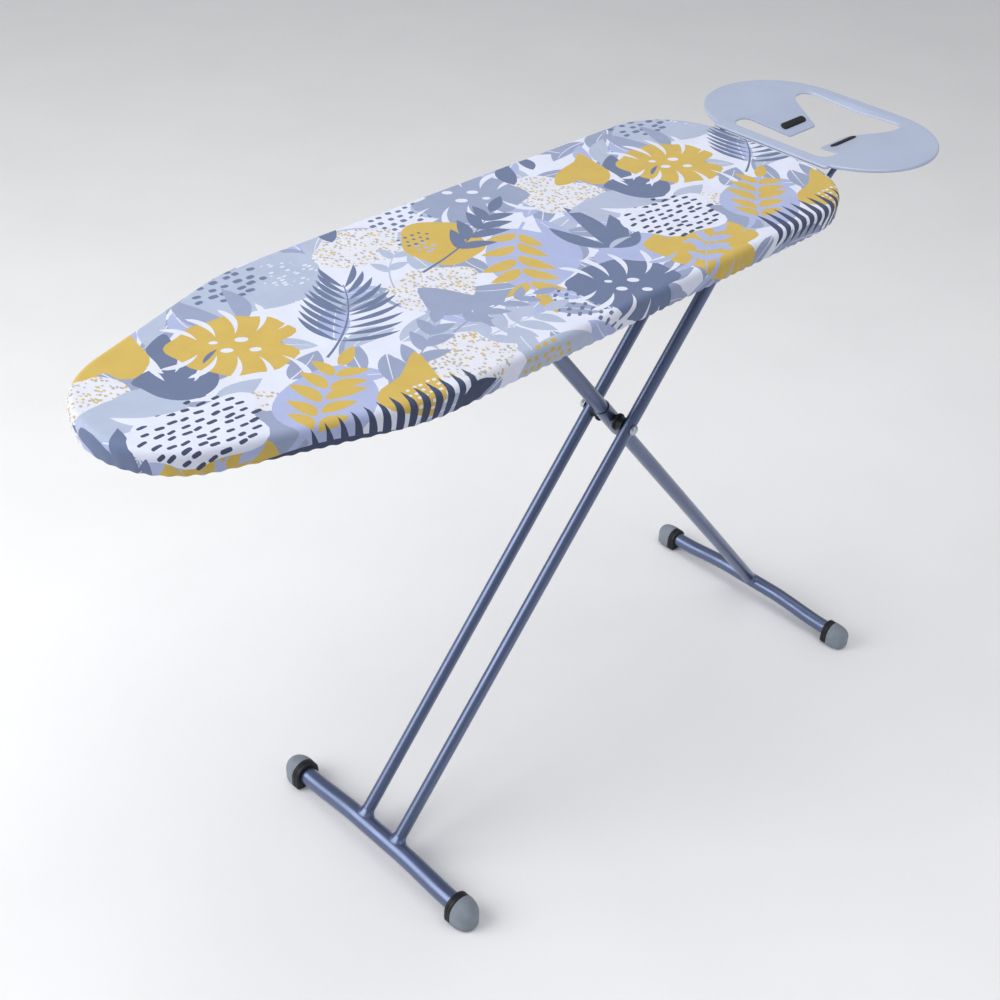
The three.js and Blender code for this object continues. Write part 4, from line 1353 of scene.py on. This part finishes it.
def rounded(corners, step=2.0):
    """A closed outline with every (x, y, radius) corner rounded by an arc."""
    out = []
    for i, (x, y, r) in enumerate(corners):
        here = Vector((x, y))
        a = (Vector(corners[i - 1][:2]) - here).normalized()
        b = (Vector(corners[(i + 1) % len(corners)][:2]) - here).normalized()
        half = a.angle(b) / 2
        centre = here + (a + b).normalized() * (r / math.sin(half))
        start, end = here + a * (r / math.tan(half)), here + b * (r / math.tan(half))
        a0 = math.atan2(start.y - centre.y, start.x - centre.x)
        swing = math.remainder(math.atan2(end.y - centre.y, end.x - centre.x) - a0, 2 * math.pi)
        out += arc(centre.x, centre.y, r, a0, swing, max(3, round(abs(swing) * r / step)))
    return [tuple(p) for p in finely(out, 6)]


def rest_hole():
    """The opening: a slot by the board, one by the outer bar, and a gap between two tongues."""
    half = [(458, 84, 17), (494, 84, 19), (532, 27, 8), (595, 27, 5), (612, 88, 20), (650, 88, 16)]
    return rounded([*half, *[(x, -y, r) for x, y, r in reversed(half)]])


def strip_slot(side, grow=0.0):
    """A tongue's long round-ended slot, in plan."""
    x, y, half, r = 561.5, 45, 27 + grow, 4.5 + grow
    points = arc(x + half - r, y, r, -math.pi / 2, math.pi, 8)
    points += arc(x - half + r, y, r, math.pi / 2, math.pi, 8)
    return [(px, side * py) for px, py in points]


def rest_height(x, y):
    """Height of the plate's top face: flat, with the tongues bent down from their roots."""
    inside = float(ease(x, 478, 490)) * (1 - float(ease(x, 643, 654)))
    depth = max(0.0, TONGUE_ROOT_Y + 3 - abs(y))
    bend = depth * depth / (depth + 5)
    neck_dip = 1.4 * (1 - float(ease(x, NECK_X, 462)))
    return REST_TOP - math.tan(TONGUE_DIP) * bend * inside - neck_dip


def outward_normals(loop):
    """The outward direction at each point of a closed outline, whichever way round it runs."""
    p = np.array(loop)
    t = np.roll(p, -1, 0) - np.roll(p, 1, 0)
    n = np.stack([t[:, 1], -t[:, 0]], 1)
    n /= np.linalg.norm(n, axis=1)[:, None] + 1e-9
    x, y = p[:, 0], p[:, 1]
    turn = np.dot(x, np.roll(y, -1)) - np.dot(y, np.roll(x, -1))
    return n if turn > 0 else -n


def rolled_edge(loop, sign, radius, drop):
    """Rings that roll an edge down. sign is 1 for an outer edge and -1 for the edge of a hole."""
    n = outward_normals(loop) * sign
    rings = []
    for k in range(6):
        a = math.pi / 2 * k / 5
        out, down = math.sin(a), radius * (1 - math.cos(a))
        rings.append([
            (x + nx * radius * out, y + ny * radius * out, rest_height(x, y) - down)
            for (x, y), (nx, ny) in zip(loop, n)
        ])
    rings.append([(x, y, z - drop) for x, y, z in rings[-1]])
    return strips(rings)


def build_rest():
    outer = rest_outline(-PLATE_EDGE)
    holes = [rest_hole(), strip_slot(1), strip_slot(-1)]
    rolls, drops = (1.6, 0.8, 0.8), (1.0, 0.4, 0.4)
    grown = []
    for hole, radius in zip(holes, rolls):
        n = outward_normals(hole)
        grown.append([(x + nx * radius, y + ny * radius) for (x, y), (nx, ny) in zip(hole, n)])
    pitch = 6
    loose = [
        (x, y)
        for x in np.arange(REST_X - REST_HALF, REST_X + REST_HALF, pitch)
        for y in np.arange(-REST_LOBE_Y - REST_HALF, REST_LOBE_Y + REST_HALF, pitch)
    ]
    flat, faces, owner = cut_flat(loose, [outer, *grown])
    top_faces = [f for f, k in zip(faces, owner) if k == 0]
    top = ([(p[0], p[1], rest_height(p[0], p[1])) for p in flat], top_faces)
    edges = [rolled_edge(outer, 1, PLATE_EDGE, PLATE_EDGE_DROP)]
    edges += [rolled_edge(g, -1, r, d) for g, r, d in zip(grown, rolls, drops)]
    points, faces = weld(*joined(top, *edges), 0.02)
    used = sorted({i for f in faces for i in f})
    renumber = {i: k for k, i in enumerate(used)}
    shape = ([points[i] for i in used], [tuple(renumber[i] for i in f) for f in faces])
    thicken(piece("rest_plate", shape, "board", ENAMEL, ["iron_rest"], 50), 1.5, -1)

    # Each pad's section as (growth, height over the plate), from the tail under the slot upwards.
    section = [
        (-1.2, -3.0), (-0.5, -3.0), (-0.2, -1.0), (-0.2, 0.9), (0.9, 1.0), (0.9, 1.5), (0.1, 2.2),
        (-1.6, 2.5),
    ]
    route = [
        (346, 885.7), (377, 885.5), (394, 876.5), (433, 876.5), (468, 905), (490, 907.2), (610, 907.2),
    ]
    for name, side in SIDES:
        rings = [
            [(x, y, rest_height(x, y) + lift) for x, y in strip_slot(side, grow)] for grow, lift in section
        ]
        piece(f"rest_pad_{name}", capped(rings), "board", SILICONE, [f"rest_strip_{name}"])
        rod = sweep(filleted([(x, side * REST_ARM_Y, z) for x, z in route], 14), 4, 20)
        piece(f"rest_rod_{name}", rod, "board", STEEL, [f"rest_arm_{name}"])


# ---- Lever ----


def build_lever():
    """The grip, with finger scallops below, and the shaft."""
    low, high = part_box("lever_grip")
    y = (low.y + high.y) / 2 / MM
    rings = []
    for k in range(33):
        t = k / 32
        along = GRIP_START + GRIP_LENGTH * t
        end = math.sqrt(max(0.02, 1 - abs(2 * t - 1) ** 5))
        scallop = 1.1 * math.cos(2 * math.pi * t * 4) * (1 if 0.12 < t < 0.9 else 0)
        ring = []
        for a in round_angles(28):
            c, s = math.cos(a), math.sin(a)
            wide = 6.8 * end * squared(c, 0.7)
            tall = (10.4 * end - (scallop if s < 0 else 0)) * squared(s, 0.8)
            x = along * math.cos(LEVER_LIFT) + tall * math.sin(LEVER_LIFT)
            z = -along * math.sin(LEVER_LIFT) + tall * math.cos(LEVER_LIFT)
            ring.append((LEVER_X + x, y + wide, LEVER_Z + z))
        rings.append(ring)
    piece("release_grip", capped(rings), "height_lever", BLACK, ["lever_grip"])
    profile = [(0.01, -156), (3.3, -156), (4, -155.3), (4, 29.3), (3.3, 30), (0.01, 30)]
    shaft = lathe(profile, LEVER_X, LEVER_Z, 28)
    piece("release_shaft", shaft, "height_lever", ZINC, ["lever_shaft"])


# ---- Build everything ----

build_cover()
build_pad()
build_mesh_top()
build_rim()
build_legs()
build_pivots()
build_rest()
build_lever()
for node in ("hinge_cross_bar", "middle_cross_bar", "nose_cross_bar", "guide_rail"):
    dress(node, STEEL, 0.5)
for node in ("hinge_ear_near", "hinge_ear_far", "lever_bracket_inner", "lever_bracket_outer"):
    dress(node, STEEL)
for node in ("rack_plate_near", "rack_plate_far", "lever_arm", "rest_tab_near", "rest_tab_far"):
    dress(node, ZINC, 0.25)

# ---- Studio ----


def floor():
    m = Material("floor")
    m.set(
        Base_Color=m.mix(m.cloud(3, 4, 0, 1), colour(246, 246, 247), colour(250, 250, 251)),
        Roughness=0.7,
        Normal=m.bump(m.noise(260, 3), 0.05, 0.0005),
    )
    mesh = bpy.data.meshes.new("floor")
    mesh.from_pydata([(-9, -9, 0), (9, -9, 0), (9, 9, 0), (-9, 9, 0)], [], [(0, 1, 2, 3)])
    mesh.materials.append(m.material)
    shown("floor", mesh)


def area_light(name, location, size, watts, tint=(1, 1, 1)):
    """A round lamp that faces the board. Sizes and places in the studio are in metres."""
    light = bpy.data.lights.new(name, "AREA")
    light.shape, light.size, light.energy, light.color = "DISK", size, watts, tint
    obj = shown(name, light)
    obj.location = location
    aim = Vector((-0.05, 0, 0.55)) - Vector(location)
    obj.rotation_euler = aim.to_track_quat("-Z", "Y").to_euler()


floor()
area_light("key", (-2.9, 1.5, 2.5), 3.4, 104)
area_light("top", (0.3, -0.2, 3.6), 3.0, 40)
area_light("fill", (1.4, -3.2, 1.5), 1.6, 9, (0.92, 0.95, 1))
world = bpy.data.worlds.new("studio")
world.use_nodes = True
sky = world.node_tree.nodes["Background"].inputs
sky["Color"].default_value, sky["Strength"].default_value = (0.96, 0.97, 1, 1), 0.42
bpy.context.scene.world = world
bpy.context.scene.view_settings.view_transform = "Standard"

# The camera was fitted to the photograph. Angles are in radians and the lens is in millimetres.
AZIMUTH, ELEVATION, ROLL = math.radians(-45.88), math.radians(36.34), 0.0458
TARGET, DISTANCE, LENS = Vector((-0.0778, 0, 0.5342)), 2.084, 54.46
back = Vector((
    math.sin(AZIMUTH) * math.cos(ELEVATION), -math.cos(AZIMUTH) * math.cos(ELEVATION), math.sin(ELEVATION),
))
camera = shown("camera", bpy.data.cameras.new("camera"))
camera.data.lens, camera.data.sensor_width = LENS, 36
camera.location = TARGET + back * DISTANCE
camera.rotation_mode = "QUATERNION"
level = (-back).to_track_quat("-Z", "Y")
camera.rotation_quaternion = level @ Matrix.Rotation(ROLL, 3, "Z").to_quaternion()
bpy.context.scene.camera = camera
